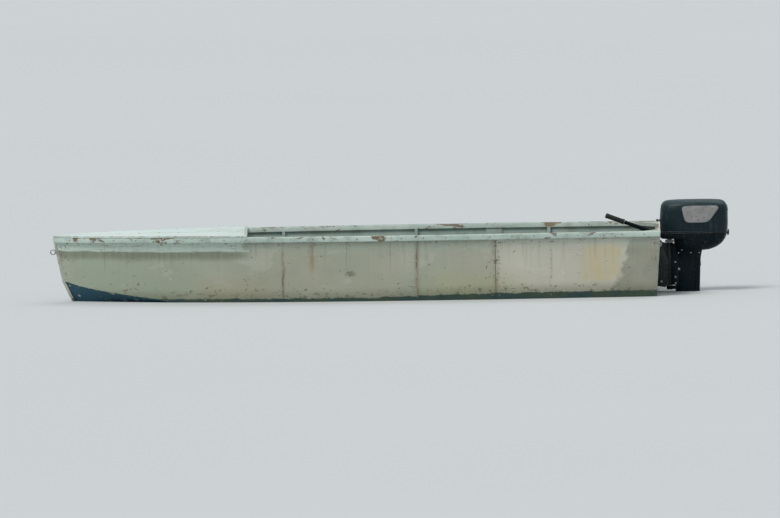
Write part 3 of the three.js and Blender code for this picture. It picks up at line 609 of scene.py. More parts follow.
def side_paint(name, aft):
    """Old off-white oil paint on plywood, with runs, patches, chips and a stained foot at the water that is partly
    painted shade.
    """
    g = Mat(name, rough=0.62, spec=0.42)
    big = g.noise(1.15, 3, 0.55, g.scaled((1.0, 0.3, 1.6)), 0.4)
    mid = g.noise(6.5, 5, 0.6, g.scaled((1.0, 0.4, 1.3)), 0.6, seed=2)
    if aft:
        c = g.mix(g.step(big, 0.35, 0.65), (0.520, 0.495, 0.405), (0.595, 0.575, 0.485))
    else:
        c = g.mix(g.step(big, 0.36, 0.64), (0.380, 0.406, 0.318), (0.453, 0.467, 0.378))
        # the bow is greener and darker, the darkening partly painted shade of the flared bow; the middle more grey
        c = g.mix(g.step(g.x, -0.9, -1.8, 0.0, 0.85), c, (0.338, 0.396, 0.300))
    # sheets under the paint show as faint vertical tone changes
    tone = g.noise(1.0, 1, 0.5, g.vec(g.mul(g.x, 2.4), 0.3, g.mul(g.z, 0.35)), 0.0, seed=5)
    c = g.mix(g.step(tone, 0.42, 0.60, 0.0, 0.35), c, (0.410, 0.380, 0.290) if not aft else (0.455, 0.435, 0.380))
    # repaired patches, rolled on in slightly other whites
    roll = g.noise(1.0, 5, 0.55, g.vec(g.mul(g.x, 3.1), 0.7, g.mul(g.z, 5.5)), 0.5, seed=14)
    c = g.mix(g.step(roll, 0.575, 0.605, 0.0, 0.30), c, (0.545, 0.560, 0.49) if not aft else (0.66, 0.645, 0.575))
    c = g.mix(g.step(roll, 0.40, 0.37, 0.0, 0.28), c, (0.310, 0.350, 0.285) if not aft else (0.43, 0.415, 0.345))
    if aft:
        # yellowed patch ahead of the stern, tan end by the transom
        e = g.noise(9.0, 4, 0.6, seed=3)
        px = g.op("ABSOLUTE", g.sub(g.x, 1.760))
        pz = g.op("ABSOLUTE", g.sub(g.z, 0.255))
        inside = g.most(g.op("DIVIDE", px, 0.150), g.op("DIVIDE", pz, 0.135))
        patch = g.step(g.add(inside, g.mul(g.sub(e, 0.5), 1.7)), 1.06, 0.74)
        c = g.mix(g.mul(patch, g.step(mid, 0.3, 0.7, 0.40, 0.80)), c, (0.590, 0.510, 0.300))
        tan = g.step(g.add(g.add(g.x, g.mul(g.sub(e, 0.5), 0.22)), g.mul(g.sub(0.26, g.z), 0.24)), 1.905, 1.945)
        c = g.mix(g.mul(tan, g.step(mid, 0.3, 0.7, 0.68, 0.86)), c, (0.262, 0.268, 0.210))
    else:
        # warm patch low on the fore part, where bare wood has stained through
        e = g.noise(5.0, 4, 0.62, seed=8)
        d = g.op("ABSOLUTE", g.add(g.x, 0.95))
        low = g.mul(g.step(g.add(d, g.mul(g.sub(e, 0.5), 0.6)), 0.42, 0.08), g.step(g.z, 0.28, 0.05))
        c = g.mix(g.mul(low, 0.42), c, (0.41, 0.330, 0.205))
    # yellow stain low on both sides of the sheet joint
    away = g.add(g.op("ABSOLUTE", g.sub(g.x, 0.88)), g.mul(g.sub(mid, 0.5), 0.5))
    stain = g.mul(g.step(away, 0.52, 0.22), g.step(g.add(g.z, g.mul(g.sub(mid, 0.5), 0.12)), 0.27, 0.11))
    c = g.mix(g.mul(stain, 0.36), c, (0.41, 0.395, 0.22) if aft else (0.415, 0.425, 0.20))
    # rows of fasteners at the frames and the sheet joint
    rust, dirt = (0.30, 0.150, 0.070), (0.165, 0.155, 0.115)
    lines = None
    for at, w, k in ((-0.540, 0.022, 1.0), (0.430, 0.030, 1.0), (1.400, 0.012, 0.45), (1.000, 0.034, 1.0)):
        j = g.mul(g.sub(g.noise(7.0, 3, 0.6, seed=at), 0.5), 0.05)
        line = g.mul(g.step(g.op("ABSOLUTE", g.add(g.sub(g.x, at), j)), w, 0.002), k)
        lines = line if lines is None else g.most(lines, line)
    broken = g.step(g.noise(11.0, 4, 0.6, g.scaled((1.0, 1.0, 0.45)), seed=4), 0.40, 0.66)
    c = g.mix(g.mul(lines, g.add(g.mul(broken, 0.55), 0.40), 0.66), c, (0.235, 0.145, 0.080))
    core = None
    for at, w in ((-0.540, 0.0050), (0.430, 0.0065)):
        j = g.mul(g.sub(g.noise(7.0, 3, 0.6, seed=at), 0.5), 0.05)
        line = g.step(g.op("ABSOLUTE", g.add(g.add(g.sub(g.x, at), j), g.mul(g.sub(g.noise(70.0, 3, 0.6, seed=33), 0.5), 0.012))), w, 0.0012)
        core = line if core is None else g.most(core, line)
    c = g.mix(g.mul(core, g.step(broken, 0.1, 0.8, 0.25, 0.85)), c, (0.120, 0.085, 0.055))
    if not aft:
        # a rust run below the deck end and a knock further aft
        wob = g.mul(g.sub(g.noise(9.0, 3, 0.6, seed=21), 0.5), 0.06)
        run2 = g.mul(g.step(g.op("ABSOLUTE", g.add(g.add(g.x, 0.335), wob)), 0.034, 0.004), g.step(g.z, 0.13, 0.33), g.step(mid, 0.30, 0.6, 0.35, 1.0))
        c = g.mix(g.mul(run2, 0.50), c, (0.335, 0.210, 0.115))
        kx = g.op("DIVIDE", g.add(g.x, 0.052), 0.040)
        kz = g.op("DIVIDE", g.sub(g.z, 0.205), 0.026)
        knock = g.step(g.add(g.add(g.mul(kx, kx), g.mul(kz, kz)), g.mul(g.sub(g.noise(62.0, 6, 0.7, seed=22), 0.5), 5.5)), 1.0, 0.35)
        c = g.mix(g.mul(knock, g.step(g.noise(140.0, 3, 0.6, seed=23), 0.35, 0.6, 0.45, 0.9)), c, g.mix(g.step(mid, 0.4, 0.6), (0.150, 0.135, 0.095), (0.215, 0.205, 0.160)))
    joint = g.step(g.op("ABSOLUTE", g.sub(g.x, 1.0)), 0.0032, 0.0012)
    c = g.mix(g.mul(joint, 0.75), c, dirt)
    # runs from the rail fasteners and scuppers of dirt
    run = g.most(g.drips(0.16, 0.437, 1.0, 0.0065, 0.34), g.mul(g.drips(0.093, 0.437, 5.0, 0.004, 0.20), 0.7),
                 g.mul(g.drips(0.41, 0.437, 9.0, 0.015, 0.46, offset=0.3), 0.8))
    soft = g.noise(1.0, 4, 0.6, g.vec(g.mul(g.x, 42.0), 0.0, g.mul(g.z, 1.7)), 0.2, seed=6)
    run = g.mul(run, g.step(soft, 0.3, 0.62, 0.35, 1.0))
    c = g.mix(g.mul(run, 0.60), c, g.mix(g.random(g.op("FLOOR", g.op("DIVIDE", g.x, 0.16))), dirt, rust))
    wash = g.mul(g.step(soft, 0.50, 0.76), g.step(g.z, 0.10, 0.43, 0.25, 1.0))
    c = g.mix(g.mul(wash, 0.34), c, (0.255, 0.255, 0.190))
    # grime high on the side, greener, and just under the rail a darker band that is partly grime and partly painted
    # shade of the rail
    c = g.mix(g.step(g.z, 0.33, 0.40, 0.0, 0.34), c, (0.400, 0.475, 0.400) if not aft else (0.500, 0.560, 0.490))
    c = g.mix(g.mul(g.step(g.z, 0.412, 0.437), g.step(mid, 0.25, 0.7, 0.20, 0.60)), c, (0.205, 0.240, 0.190) if not aft else (0.330, 0.370, 0.315))
    if not aft:
        # deck paint brushed over the top of the side by hand, as far as the deck goes, and below it a dark line of
        # painted shade, as under a rubbing strake
        hand = g.noise(1.0, 4, 0.6, g.vec(g.mul(g.x, 6.0), 0.0, g.mul(g.z, 34.0)), 0.3, seed=31)
        hair = g.noise(1.0, 3, 0.6, g.vec(g.mul(g.x, 7.0), 0.0, g.mul(g.z, 190.0)), 0.2, seed=32)
        lap = g.add(g.z, g.mul(g.sub(hand, 0.5), 0.026))
        ends = g.add(g.add(g.x, g.mul(g.sub(hair, 0.5), 0.26)), g.mul(g.sub(hand, 0.5), 0.16))
        there = g.step(ends, -0.800, -0.812)
        near_it = g.step(g.x, -0.70, -0.92)
        # painted shade: a soft dark band below the lapped paint
        painted_lap_shade = g.mul(near_it, g.step(g.add(g.z, g.mul(g.sub(mid, 0.5), 0.03)), 0.290, 0.344), g.step(soft, 0.25, 0.60, 0.72, 1.0))
        c = g.mix(g.mul(painted_lap_shade, 0.82), c, (0.185, 0.205, 0.150))
        line = g.mul(there, g.step(lap, 0.370, 0.374))
        coat = g.mix(g.step(big, 0.35, 0.65), (0.490, 0.590, 0.520), (0.565, 0.665, 0.595))
        coat = g.mix(g.mul(g.step(hair, 0.50, 0.68), 0.35), coat, (0.370, 0.440, 0.375))
        coat = g.mix(g.mul(g.step(lap, 0.384, 0.373), 0.30), coat, (0.330, 0.380, 0.310))
        worn = g.step(g.add(hair, g.mul(g.sub(mid, 0.5), 0.5)), 0.33, 0.40, 0.35, 1.0)
        c = g.mix(g.mul(line, worn, 0.93), c, coat)
        c = g.mix(g.mul(run, 0.30), c, dirt)
    # chips down to grey primer and bare ply, most at the foot, the rail and the sheet ends
    near = g.most(g.step(g.z, 0.16, 0.02), g.step(g.z, 0.39, 0.44, 0, 0.75), g.step(g.op("ABSOLUTE", g.sub(g.x, 1.0)), 0.12, 0.0, 0, 0.6),
                  g.step(g.x, -2.02, -2.19, 0, 0.9), g.step(g.x, 2.10, 2.19, 0, 0.7))
    flake = g.noise(26.0, 6, 0.66, g.scaled((1.0, 1.0, 1.5)), 0.5, seed=7)
    lost = g.step(g.add(flake, g.mul(near, 0.105)), 0.655, 0.672)
    scrape = g.noise(1.0, 5, 0.6, g.vec(g.mul(g.x, 6.0), 0.0, g.mul(g.z, 120.0)), 0.3, seed=11)
    scraped = g.mul(g.step(scrape, 0.665, 0.70), g.step(g.noise(2.6, 2, 0.5, seed=12), 0.50, 0.62))
    under = g.mix(g.step(flake, 0.69, 0.72), (0.205, 0.195, 0.160), (0.225, 0.150, 0.090))
    c = g.mix(g.most(lost, g.mul(scraped, 0.6)), c, under)
    c = foot_band(g, c, mid)
    g.color(c)
    g.rough(g.most(g.lerp(g.step(mid, 0.3, 0.7), 0.52, 0.72), g.mul(lost, 0.85)))
    brush = g.noise(1.0, 4, 0.6, g.vec(g.mul(g.x, 14.0), 0.0, g.mul(g.z, 260.0)), 0.2)
    n = g.bump(brush, 0.22, 0.0012)
    n = g.bump(g.noise(60.0, 4, 0.6), 0.12, 0.001, n)
    n = g.bump(g.op("MULTIPLY", lost, -1.0), 0.5, 0.0007, n)
    n = g.bump(g.op("MULTIPLY", joint, -1.0), 0.7, 0.002, n)
    g.normal(n)
    return g


def bottom_paint():
    g = Mat("bottom_paint_look", rough=0.7, spec=0.3)
    a = g.noise(2.2, 4, 0.6, g.scaled((0.7, 1.0, 1.0)))
    c = g.mix(g.step(a, 0.35, 0.65), (0.006, 0.052, 0.095), (0.018, 0.084, 0.132))
    weed = g.noise(34.0, 6, 0.65, seed=2)
    c = g.mix(g.mul(g.step(weed, 0.48, 0.64), 0.55), c, (0.060, 0.085, 0.045))
    scrape = g.noise(1.0, 4, 0.6, g.vec(g.mul(g.x, 2.0), g.mul(g.y, 70.0), g.mul(g.z, 70.0)), 0.2)
    c = g.mix(g.mul(g.step(scrape, 0.60, 0.70), 0.5), c, (0.20, 0.23, 0.22))
    shell = g.step(g.cells(85.0), 0.17, 0.10)
    spots = g.mul(shell, g.step(g.noise(5.0, 2, 0.5, seed=4), 0.52, 0.62), g.step(g.z, 0.0, -0.03))
    c = g.mix(g.mul(spots, 0.8), c, (0.42, 0.40, 0.34))
    pale = g.step(g.z, 0.0, 0.12, 0.0, 0.25)
    c = g.mix(pale, c, (0.060, 0.135, 0.165))
    chip = g.step(g.add(g.noise(22.0, 5, 0.62, seed=6), g.mul(g.attr("rim"), 0.11)), 0.655, 0.675)
    c = g.mix(chip, c, (0.33, 0.32, 0.27))
    g.color(c)
    g.rough(g.lerp(g.step(weed, 0.4, 0.65), 0.58, 0.85))
    n = g.bump(weed, 0.35, 0.0015)
    g.normal(g.bump(spots, 0.6, 0.0015, n))
    return g


def worn_paint(name, base, second, wood, along="x", wear=0.5, dirt=(0.20, 0.20, 0.15), grime=0.4, low=None, edge=True, rough=0.6, top_wear=0.0, foot=False):
    """Paint on timber, with grain showing through, worn edges and dirt in the low parts."""
    g = Mat(name, rough=rough, spec=0.4)
    fibre, ring = wood_grain(g, along)
    a = g.noise(3.3, 4, 0.6, seed=1)
    c = g.mix(g.step(a, 0.35, 0.65), base, second)
    c = g.mix(g.mul(g.step(fibre, 0.50, 0.75), 0.22), c, dirt)
    timber = g.mix(g.step(fibre, 0.35, 0.66), wood, tuple(q * 0.52 for q in wood))
    timber = g.mix(g.mul(ring, 0.35), timber, tuple(q * 0.7 for q in wood))
    timber = g.mix(g.step(g.noise(6.0, 4, 0.6, seed=15), 0.42, 0.62, 0.0, 0.75), timber, (0.235, 0.215, 0.180))
    flake = g.noise(19.0, 6, 0.66, g.scaled({"x": (0.45, 1, 1), "y": (1, 0.45, 1), "z": (1, 1, 0.45)}[along]), 0.4, seed=3)
    edges = g.edge(0.006) if edge else g.attr("rim")
    more = g.add(g.mul(edges, 0.17), 0.0)
    if top_wear:
        more = g.add(more, g.mul(g.step(g.nz, 0.6, 0.95), top_wear))
    bare = g.step(g.add(flake, more), 0.735 - 0.16 * wear, 0.760 - 0.16 * wear)
    c = g.mix(bare, c, timber)
    spots = g.noise(11.0, 5, 0.6, seed=6)
    c = g.mix(g.mul(g.step(spots, 0.45, 0.72), grime), c, dirt)
    if low is not None:
        c = g.mix(g.step(g.z, low[1], low[0], 0.0, 0.62), c, tuple(q * 0.55 for q in dirt))
    if foot:  # the foot band, stain and partly painted shade, is on the outer face only, bilge dirt on the inner one
        inner = g.mix(g.step(g.z, 0.12, -0.04, 0.0, 0.5), c, tuple(q * 0.6 for q in dirt))
        c = g.mix(g.step(g.nx, -0.6, -0.3), inner, foot_band(g, c, a))
    g.color(c)
    g.rough(g.lerp(bare, g.lerp(g.step(spots, 0.3, 0.7), rough - 0.08, rough + 0.08), 0.85))
    n = g.bump(fibre, 0.22, 0.0010)
    n = g.bump(g.op("MULTIPLY", bare, -1.0), 0.45, 0.0007, n)
    g.normal(n)
    return g


def bare_wood(name, base, along="x", grey=0.6, low=True, paint=None):
    """Weathered boards: silvered grain, dark checks, foot wear, old paint in the hollows."""
    g = Mat(name, rough=0.8, spec=0.25)
    fibre, ring = wood_grain(g, along, 1.0)
    board = g.random(g.op("FLOOR", g.op("DIVIDE", g.add(g.y, 0.102), 0.204))) if along == "x" else g.random(g.op("FLOOR", g.mul(g.x, 4.0)))
    c = g.mix(g.step(fibre, 0.32, 0.68), base, tuple(q * 0.50 for q in base))
    c = g.mix(g.mul(ring, 0.30), c, tuple(q * 0.62 for q in base))
    c = g.mix(g.lerp(board, 0.0, 0.35), c, (0.33, 0.255, 0.165))
    silver = g.noise(2.1, 4, 0.6, seed=2)
    c = g.mix(g.mul(g.step(silver, 0.35, 0.7), grey), c, (0.38, 0.375, 0.335))
    check = g.noise(1.0, 3, 0.5, g.scaled({"x": (2.2, 130.0, 130.0), "y": (130.0, 2.2, 130.0)}[along]), 0.6, seed=4)
    crack = g.step(check, 0.655, 0.69)
    c = g.mix(g.mul(crack, 0.85), c, (0.040, 0.034, 0.026))
    if paint is not None:
        old = g.noise(7.0, 6, 0.68, g.scaled({"x": (0.4, 1, 1), "y": (1, 0.4, 1)}[along]), 0.5, seed=8)
        rest = g.step(g.sub(old, g.mul(g.edge(0.008), 0.12)), 0.485, 0.515)
        c = g.mix(g.mul(rest, 0.9), c, g.mix(g.step(fibre, 0.4, 0.7), paint, tuple(q * 0.72 for q in paint)))
    stain = g.noise(3.0, 5, 0.65, seed=9)
    c = g.mix(g.mul(g.step(stain, 0.52, 0.74), 0.6), c, (0.085, 0.075, 0.055))
    g.color(c)
    g.rough(g.lerp(g.step(stain, 0.5, 0.75), 0.82, 0.6))
    n = g.bump(fibre, 0.4, 0.0016)
    g.normal(g.bump(g.op("MULTIPLY", crack, -1.0), 0.8, 0.002, n))
    return g


def deck_paint():
    g = Mat("deck_paint_look", rough=0.58, spec=0.45)
    a = g.noise(1.5, 3, 0.5)
    # pale mint deck paint; the mint tint is partly a painted reflection of the water's cyan on a whiter deck
    c = g.mix(g.step(a, 0.35, 0.65), (0.632, 0.750, 0.706), (0.708, 0.810, 0.770))
    grit = g.noise(420.0, 2, 0.5)
    c = g.mix(g.mul(g.step(grit, 0.52, 0.62), 0.16), c, (0.45, 0.47, 0.44))
    scuff = g.noise(4.0, 6, 0.66, g.scaled((1.0, 1.6, 1.0)), 0.8, seed=3)
    c = g.mix(g.mul(g.step(scuff, 0.53, 0.70), 0.42), c, (0.47, 0.46, 0.39))
    rim = g.attr("rim")
    flake = g.noise(24.0, 6, 0.66, seed=5)
    bare = g.step(g.add(flake, g.mul(rim, 0.13)), 0.675, 0.695)
    c = g.mix(g.mul(rim, g.step(scuff, 0.35, 0.6, 0.2, 0.7)), c, (0.36, 0.36, 0.29))
    c = g.mix(bare, c, g.mix(g.step(flake, 0.74, 0.78), (0.36, 0.38, 0.36), (0.22, 0.165, 0.105)))
    run = g.noise(1.0, 4, 0.6, g.vec(g.mul(g.x, 3.0), g.mul(g.y, 40.0), 0.0), 0.3, seed=7)
    c = g.mix(g.mul(g.step(run, 0.60, 0.72), 0.25), c, (0.42, 0.40, 0.32))
    # seam between the two deck sheets with dirt along it, and the trodden aft part
    off = g.op("ABSOLUTE", g.add(g.y, g.mul(g.sub(scuff, 0.5), 0.0016)))
    soil = g.mul(g.step(off, 0.045, 0.0), g.step(scuff, 0.36, 0.62))
    c = g.mix(g.mul(soil, 0.42), c, (0.40, 0.395, 0.32))
    foot = g.noise(7.5, 6, 0.68, g.scaled((1.0, 1.3, 1.0)), 0.9, seed=9)
    trod = g.mul(g.step(foot, 0.47, 0.62), g.step(g.x, -1.55, -0.90), g.step(g.op("ABSOLUTE", g.y), 0.60, 0.25))
    c = g.mix(g.mul(trod, 0.34), c, (0.44, 0.45, 0.385))
    seam = g.step(off, 0.0030, 0.0015)
    c = g.mix(g.mul(seam, 0.85), c, (0.150, 0.150, 0.115))
    g.color(c)
    g.rough(g.lerp(bare, g.lerp(g.step(scuff, 0.4, 0.7), 0.5, 0.72), 0.85))
    n = g.bump(grit, 0.30, 0.0007)
    n = g.bump(g.op("MULTIPLY", seam, -1.0), 0.6, 0.0015, n)
    g.normal(g.bump(g.op("MULTIPLY", bare, -1.0), 0.5, 0.0007, n))
    return g


def metal_dull(name, base, rust=0.25, rough=0.42, metal=1.0):
    g = Mat(name, rough=rough, metal=metal)
    a = g.noise(38.0, 5, 0.6)
    b = g.noise(9.0, 4, 0.6, seed=2)
    c = g.mix(g.step(a, 0.35, 0.68), base, tuple(q * 0.62 for q in base))
    bloom = g.step(b, 0.50, 0.68)
    c = g.mix(g.mul(bloom, 0.5), c, (0.52, 0.53, 0.52))
    spot = g.mul(g.step(g.noise(70.0, 5, 0.65, seed=4), 0.56, 0.66), g.step(b, 0.35, 0.6))
    c = g.mix(g.mul(spot, rust * 2.2), c, (0.205, 0.085, 0.035))
    g.color(c)
    g.rough(g.add(g.lerp(g.step(a, 0.3, 0.7), rough - 0.06, rough + 0.14), g.mul(spot, 0.3)))
    g.metal(g.op("MULTIPLY", metal, g.sub(1.0, g.mul(g.most(spot, g.mul(bloom, 0.5)), 0.8))))
    g.normal(g.bump(a, 0.25, 0.0006))
    return g


def black_paint(name, base, fade, rough=0.42, wear=0.5, bare=(0.42, 0.43, 0.43), chalk=0.5, pebble=0.0, salt=0.5, coat=0.0, spec=0.5):
    """Sun-faded black: chalky on what faces up, salt marks, edges worn to metal."""
    g = Mat(name, rough=rough, spec=spec, coat=coat, coat_rough=0.25)
    a = g.noise(5.0, 4, 0.6)
    b = g.noise(28.0, 5, 0.62, seed=3)
    c = g.mix(g.step(a, 0.35, 0.65), base, tuple(q * 1.45 for q in base))
    up = g.step(g.nz, 0.15, 0.95)
    c = g.mix(g.mul(up, g.step(a, 0.3, 0.62, 0.45, 1.0), chalk), c, fade)
    dry = g.noise(1.0, 4, 0.62, g.vec(g.mul(g.x, 34.0), g.mul(g.y, 34.0), g.mul(g.z, 3.2)), 0.3, seed=5)
    c = g.mix(g.mul(g.step(dry, 0.55, 0.74), salt * 0.55), c, (0.24, 0.25, 0.24))
    spots = g.mul(g.step(g.noise(95.0, 3, 0.6, seed=6), 0.60, 0.70), g.step(a, 0.4, 0.7))
    c = g.mix(g.mul(spots, salt * 0.5), c, (0.32, 0.33, 0.32))
    worn = g.step(g.add(g.noise(60.0, 5, 0.65, seed=8), g.mul(g.edge(0.004, 0.03, 0.30), 0.21 * wear)), 0.700, 0.730)
    c = g.mix(g.mul(worn, 0.9), c, bare)
    g.color(c)
    g.rough(g.add(g.lerp(g.step(b, 0.3, 0.7), rough - 0.05, rough + 0.12), g.mul(up, 0.12 * chalk)))
    g.metal(g.mul(worn, 0.8))
    n = g.bump(g.noise(520.0, 2, 0.5), pebble, 0.0005) if pebble else None
    n = g.bump(b, 0.10, 0.0008, n)
    g.normal(g.bump(g.op("MULTIPLY", worn, -1.0), 0.35, 0.0005, n))
    return g


def rubber(name, base=(0.018, 0.018, 0.018)):
    g = Mat(name, rough=0.82, spec=0.3)
    a = g.noise(16.0, 4, 0.6)
    c = g.mix(g.step(a, 0.35, 0.7), base, tuple(q * 2.4 for q in base))
    dust = g.noise(75.0, 4, 0.6, seed=2)
    c = g.mix(g.mul(g.step(dust, 0.48, 0.68), 0.35), c, (0.13, 0.13, 0.12))
    g.color(c)
    g.rough(g.lerp(g.step(a, 0.3, 0.7), 0.72, 0.92))
    g.normal(g.bump(dust, 0.3, 0.0006))
    return g


def grey_panel_and_highlight():
    """Light grey side panel of the motor cover, a decal area that is partly a painted sun highlight."""
    g = Mat("grey_panel_highlight_look", rough=0.5, spec=0.4)
    a = g.noise(7.0, 5, 0.62)
    c = g.mix(g.step(a, 0.35, 0.68), (0.215, 0.215, 0.215), (0.300, 0.292, 0.288))
    peel = g.step(g.noise(44.0, 5, 0.66, seed=3), 0.60, 0.64)
    c = g.mix(g.mul(peel, 0.75), c, (0.055, 0.060, 0.062))
    dry = g.noise(1.0, 4, 0.6, g.vec(g.mul(g.x, 40.0), 0.0, g.mul(g.z, 5.0)), 0.3, seed=4)
    c = g.mix(g.mul(g.step(dry, 0.52, 0.72), 0.4), c, (0.13, 0.14, 0.14))
    g.color(c)
    g.rough(g.lerp(g.step(a, 0.3, 0.7), 0.45, 0.65))
    g.normal(g.bump(g.noise(300.0, 2, 0.5), 0.15, 0.0005))
    return g


def zinc():
    g = Mat("anode_look", rough=0.75, metal=0.6)
    a = g.noise(55.0, 6, 0.7)
    c = g.mix(g.step(a, 0.4, 0.62), (0.30, 0.31, 0.32), (0.52, 0.52, 0.50))
    g.color(c)
    g.rough(g.lerp(g.step(a, 0.3, 0.7), 0.6, 0.9))
    g.normal(g.bump(a, 0.8, 0.0018))
    return g


# near-black fill for the inside of holes and slots: painted shade
def painted_hole_shade():
    g = Mat("painted_hole_shade_look", rough=0.9, spec=0.2)
    a = g.noise(60.0, 3, 0.6)
    g.color(g.mix(g.step(a, 0.3, 0.7), (0.010, 0.011, 0.012), (0.024, 0.024, 0.023)))
    g.rough(g.lerp(g.step(a, 0.3, 0.7), 0.85, 0.95))
    return g


TOPSIDE = side_paint("topside_paint_look", False)
TOPSIDE_AFT = side_paint("topside_aft_paint_look", True)
BOTTOM = bottom_paint()
DECK = deck_paint()
# rail paint mint like the deck, the tint partly a painted reflection of the water's cyan
RAIL = worn_paint("rail_paint_look", (0.465, 0.572, 0.515), (0.555, 0.665, 0.603), (0.27, 0.20, 0.125), wear=0.46, dirt=(0.19, 0.215, 0.175), grime=0.40, edge=False, top_wear=0.03)
CUTWATER = worn_paint("cutwater_paint_look", (0.40, 0.445, 0.385), (0.48, 0.52, 0.455), (0.27, 0.205, 0.13), along="z", wear=0.6, grime=0.5, edge=False, foot=True)
INWALE = worn_paint("inwale_paint_look", (0.465, 0.572, 0.520), (0.55, 0.65, 0.595), (0.33, 0.24, 0.145), wear=0.80, grime=0.35, edge=False, top_wear=0.05)
INSIDE = worn_paint("inside_paint_look", (0.280, 0.378, 0.345), (0.345, 0.437, 0.400), (0.32, 0.235, 0.145), wear=0.30, grime=0.48, low=(-0.06, 0.12))
INSIDE_FRAME = worn_paint("inside_frame_look", (0.300, 0.392, 0.360), (0.362, 0.450, 0.415), (0.31, 0.225, 0.14), along="z", wear=0.55, grime=0.45, low=(-0.06, 0.14))
TIMBER = worn_paint("timber_look", (0.355, 0.430, 0.395), (0.42, 0.490, 0.450), (0.33, 0.24, 0.15), wear=0.85, grime=0.4)
TIMBER_Y = worn_paint("timber_cross_look", (0.38, 0.455, 0.420), (0.45, 0.515, 0.475), (0.33, 0.24, 0.15), along="y", wear=0.85, grime=0.4)
PAD = worn_paint("transom_pad_look", (0.25, 0.235, 0.185), (0.33, 0.30, 0.235), (0.25, 0.175, 0.105), along="y", wear=1.1, grime=0.5)
TRANSOM = worn_paint("transom_paint_look", (0.475, 0.455, 0.38), (0.545, 0.525, 0.45), (0.28, 0.21, 0.13), along="y", wear=0.62, grime=0.42, foot=True)
BILGE = worn_paint("bilge_paint_look", (0.185, 0.250, 0.228), (0.245, 0.305, 0.275), (0.24, 0.18, 0.115), wear=0.45, dirt=(0.10, 0.092, 0.065), grime=0.75, edge=False)
BOARDS = bare_wood("floor_boards_look", (0.30, 0.255, 0.185), "x", 0.7)
SEATS = bare_wood("seat_boards_look", (0.38, 0.315, 0.225), "y", 0.55, paint=(0.46, 0.52, 0.485))
STEEL = metal_dull("galvanised_look", (0.46, 0.47, 0.475), 0.30, 0.45)
SCREW = metal_dull("screw_head_look", (0.40, 0.40, 0.39), 0.55, 0.50)
BRIGHT = metal_dull("clamp_screw_look", (0.52, 0.53, 0.54), 0.30, 0.34)
CASTING = black_paint("casting_look", (0.008, 0.013, 0.015), (0.060, 0.074, 0.078), 0.50, 1.0, bare=(0.30, 0.31, 0.31), chalk=0.4, pebble=0.16, salt=0.35)
LEG = black_paint("leg_paint_look", (0.0016, 0.0062, 0.0085), (0.022, 0.042, 0.048), 0.46, 0.8, bare=(0.20, 0.21, 0.21), chalk=0.30, salt=0.20, spec=0.13)
COWL = black_paint("cowl_look", (0.0020, 0.0105, 0.0145), (0.040, 0.078, 0.088), 0.36, 0.25, bare=(0.06, 0.065, 0.065), chalk=0.55, pebble=0.10, salt=0.20, spec=0.30)
PANEL_AND_HIGHLIGHT = grey_panel_and_highlight()
GRIP = rubber("grip_look")
SEAL = rubber("seal_look", (0.012, 0.012, 0.012))
ENGINE = metal_dull("engine_block_look", (0.30, 0.31, 0.32), 0.2, 0.5)
PROP = black_paint("propeller_look", (0.022, 0.027, 0.030), (0.07, 0.075, 0.075), 0.40, 1.6, bare=(0.55, 0.55, 0.54), chalk=0.2, salt=0.6)
ANODE = zinc()
HOLE_SHADE = painted_hole_shade()

# ---------------------------------------------------------------- hull sheets
SIGN = {"port": -1, "starboard": 1}


def lofted_side(x0, x1, cols, rows, off):
    """Grid of one side sheet, mm, between stations x0 and x1 (None for the stem or the transom end)."""
    v = np.linspace(0, 1, rows)[None, :] * np.ones((cols, 1))
    first = (C[0, 0] + (S[0, 0] - C[0, 0]) * v) if x0 is None else np.full_like(v, x0 / MM)
    last = (C[-1, 0] + (S[-1, 0] - C[-1, 0]) * v) if x1 is None else np.full_like(v, x1 / MM)
    u = np.linspace(0, 1, cols)[:, None]
    x = first + (last - first) * u
    t = side_t(x, v)
    nb, nc, up = ip(NB, t), ip(NC, t), ip(UP, t)
    mitre = off * (1 - (nb * nc).sum(-1)) / (nb * up).sum(-1)
    lift = (mitre + 0.5) / np.linalg.norm(ip(S, t) - ip(C, t), axis=-1)
    return side(t, lift + (1 - lift) * v, off)


def bulge(p):
    """Unfairness of the sheet in mm: slightly hollow between frames, with low waves."""
    x = p[..., 0] * MM
    hold = np.ones_like(x)
    for at in (-0.86, *FRAME_X, SEAM_X, 2.17):
        hold *= 1 - np.exp(-(((x - at) / 0.10) ** 2))
    q = p * MM
    return 1.3 * hold * waves(q, 4.5, 3, 2) + 0.45 * waves(q, 17.0, 4, 2)


heads = {"rail": Body(), "side": Body(), "deck": Body(), "inside": Body()}

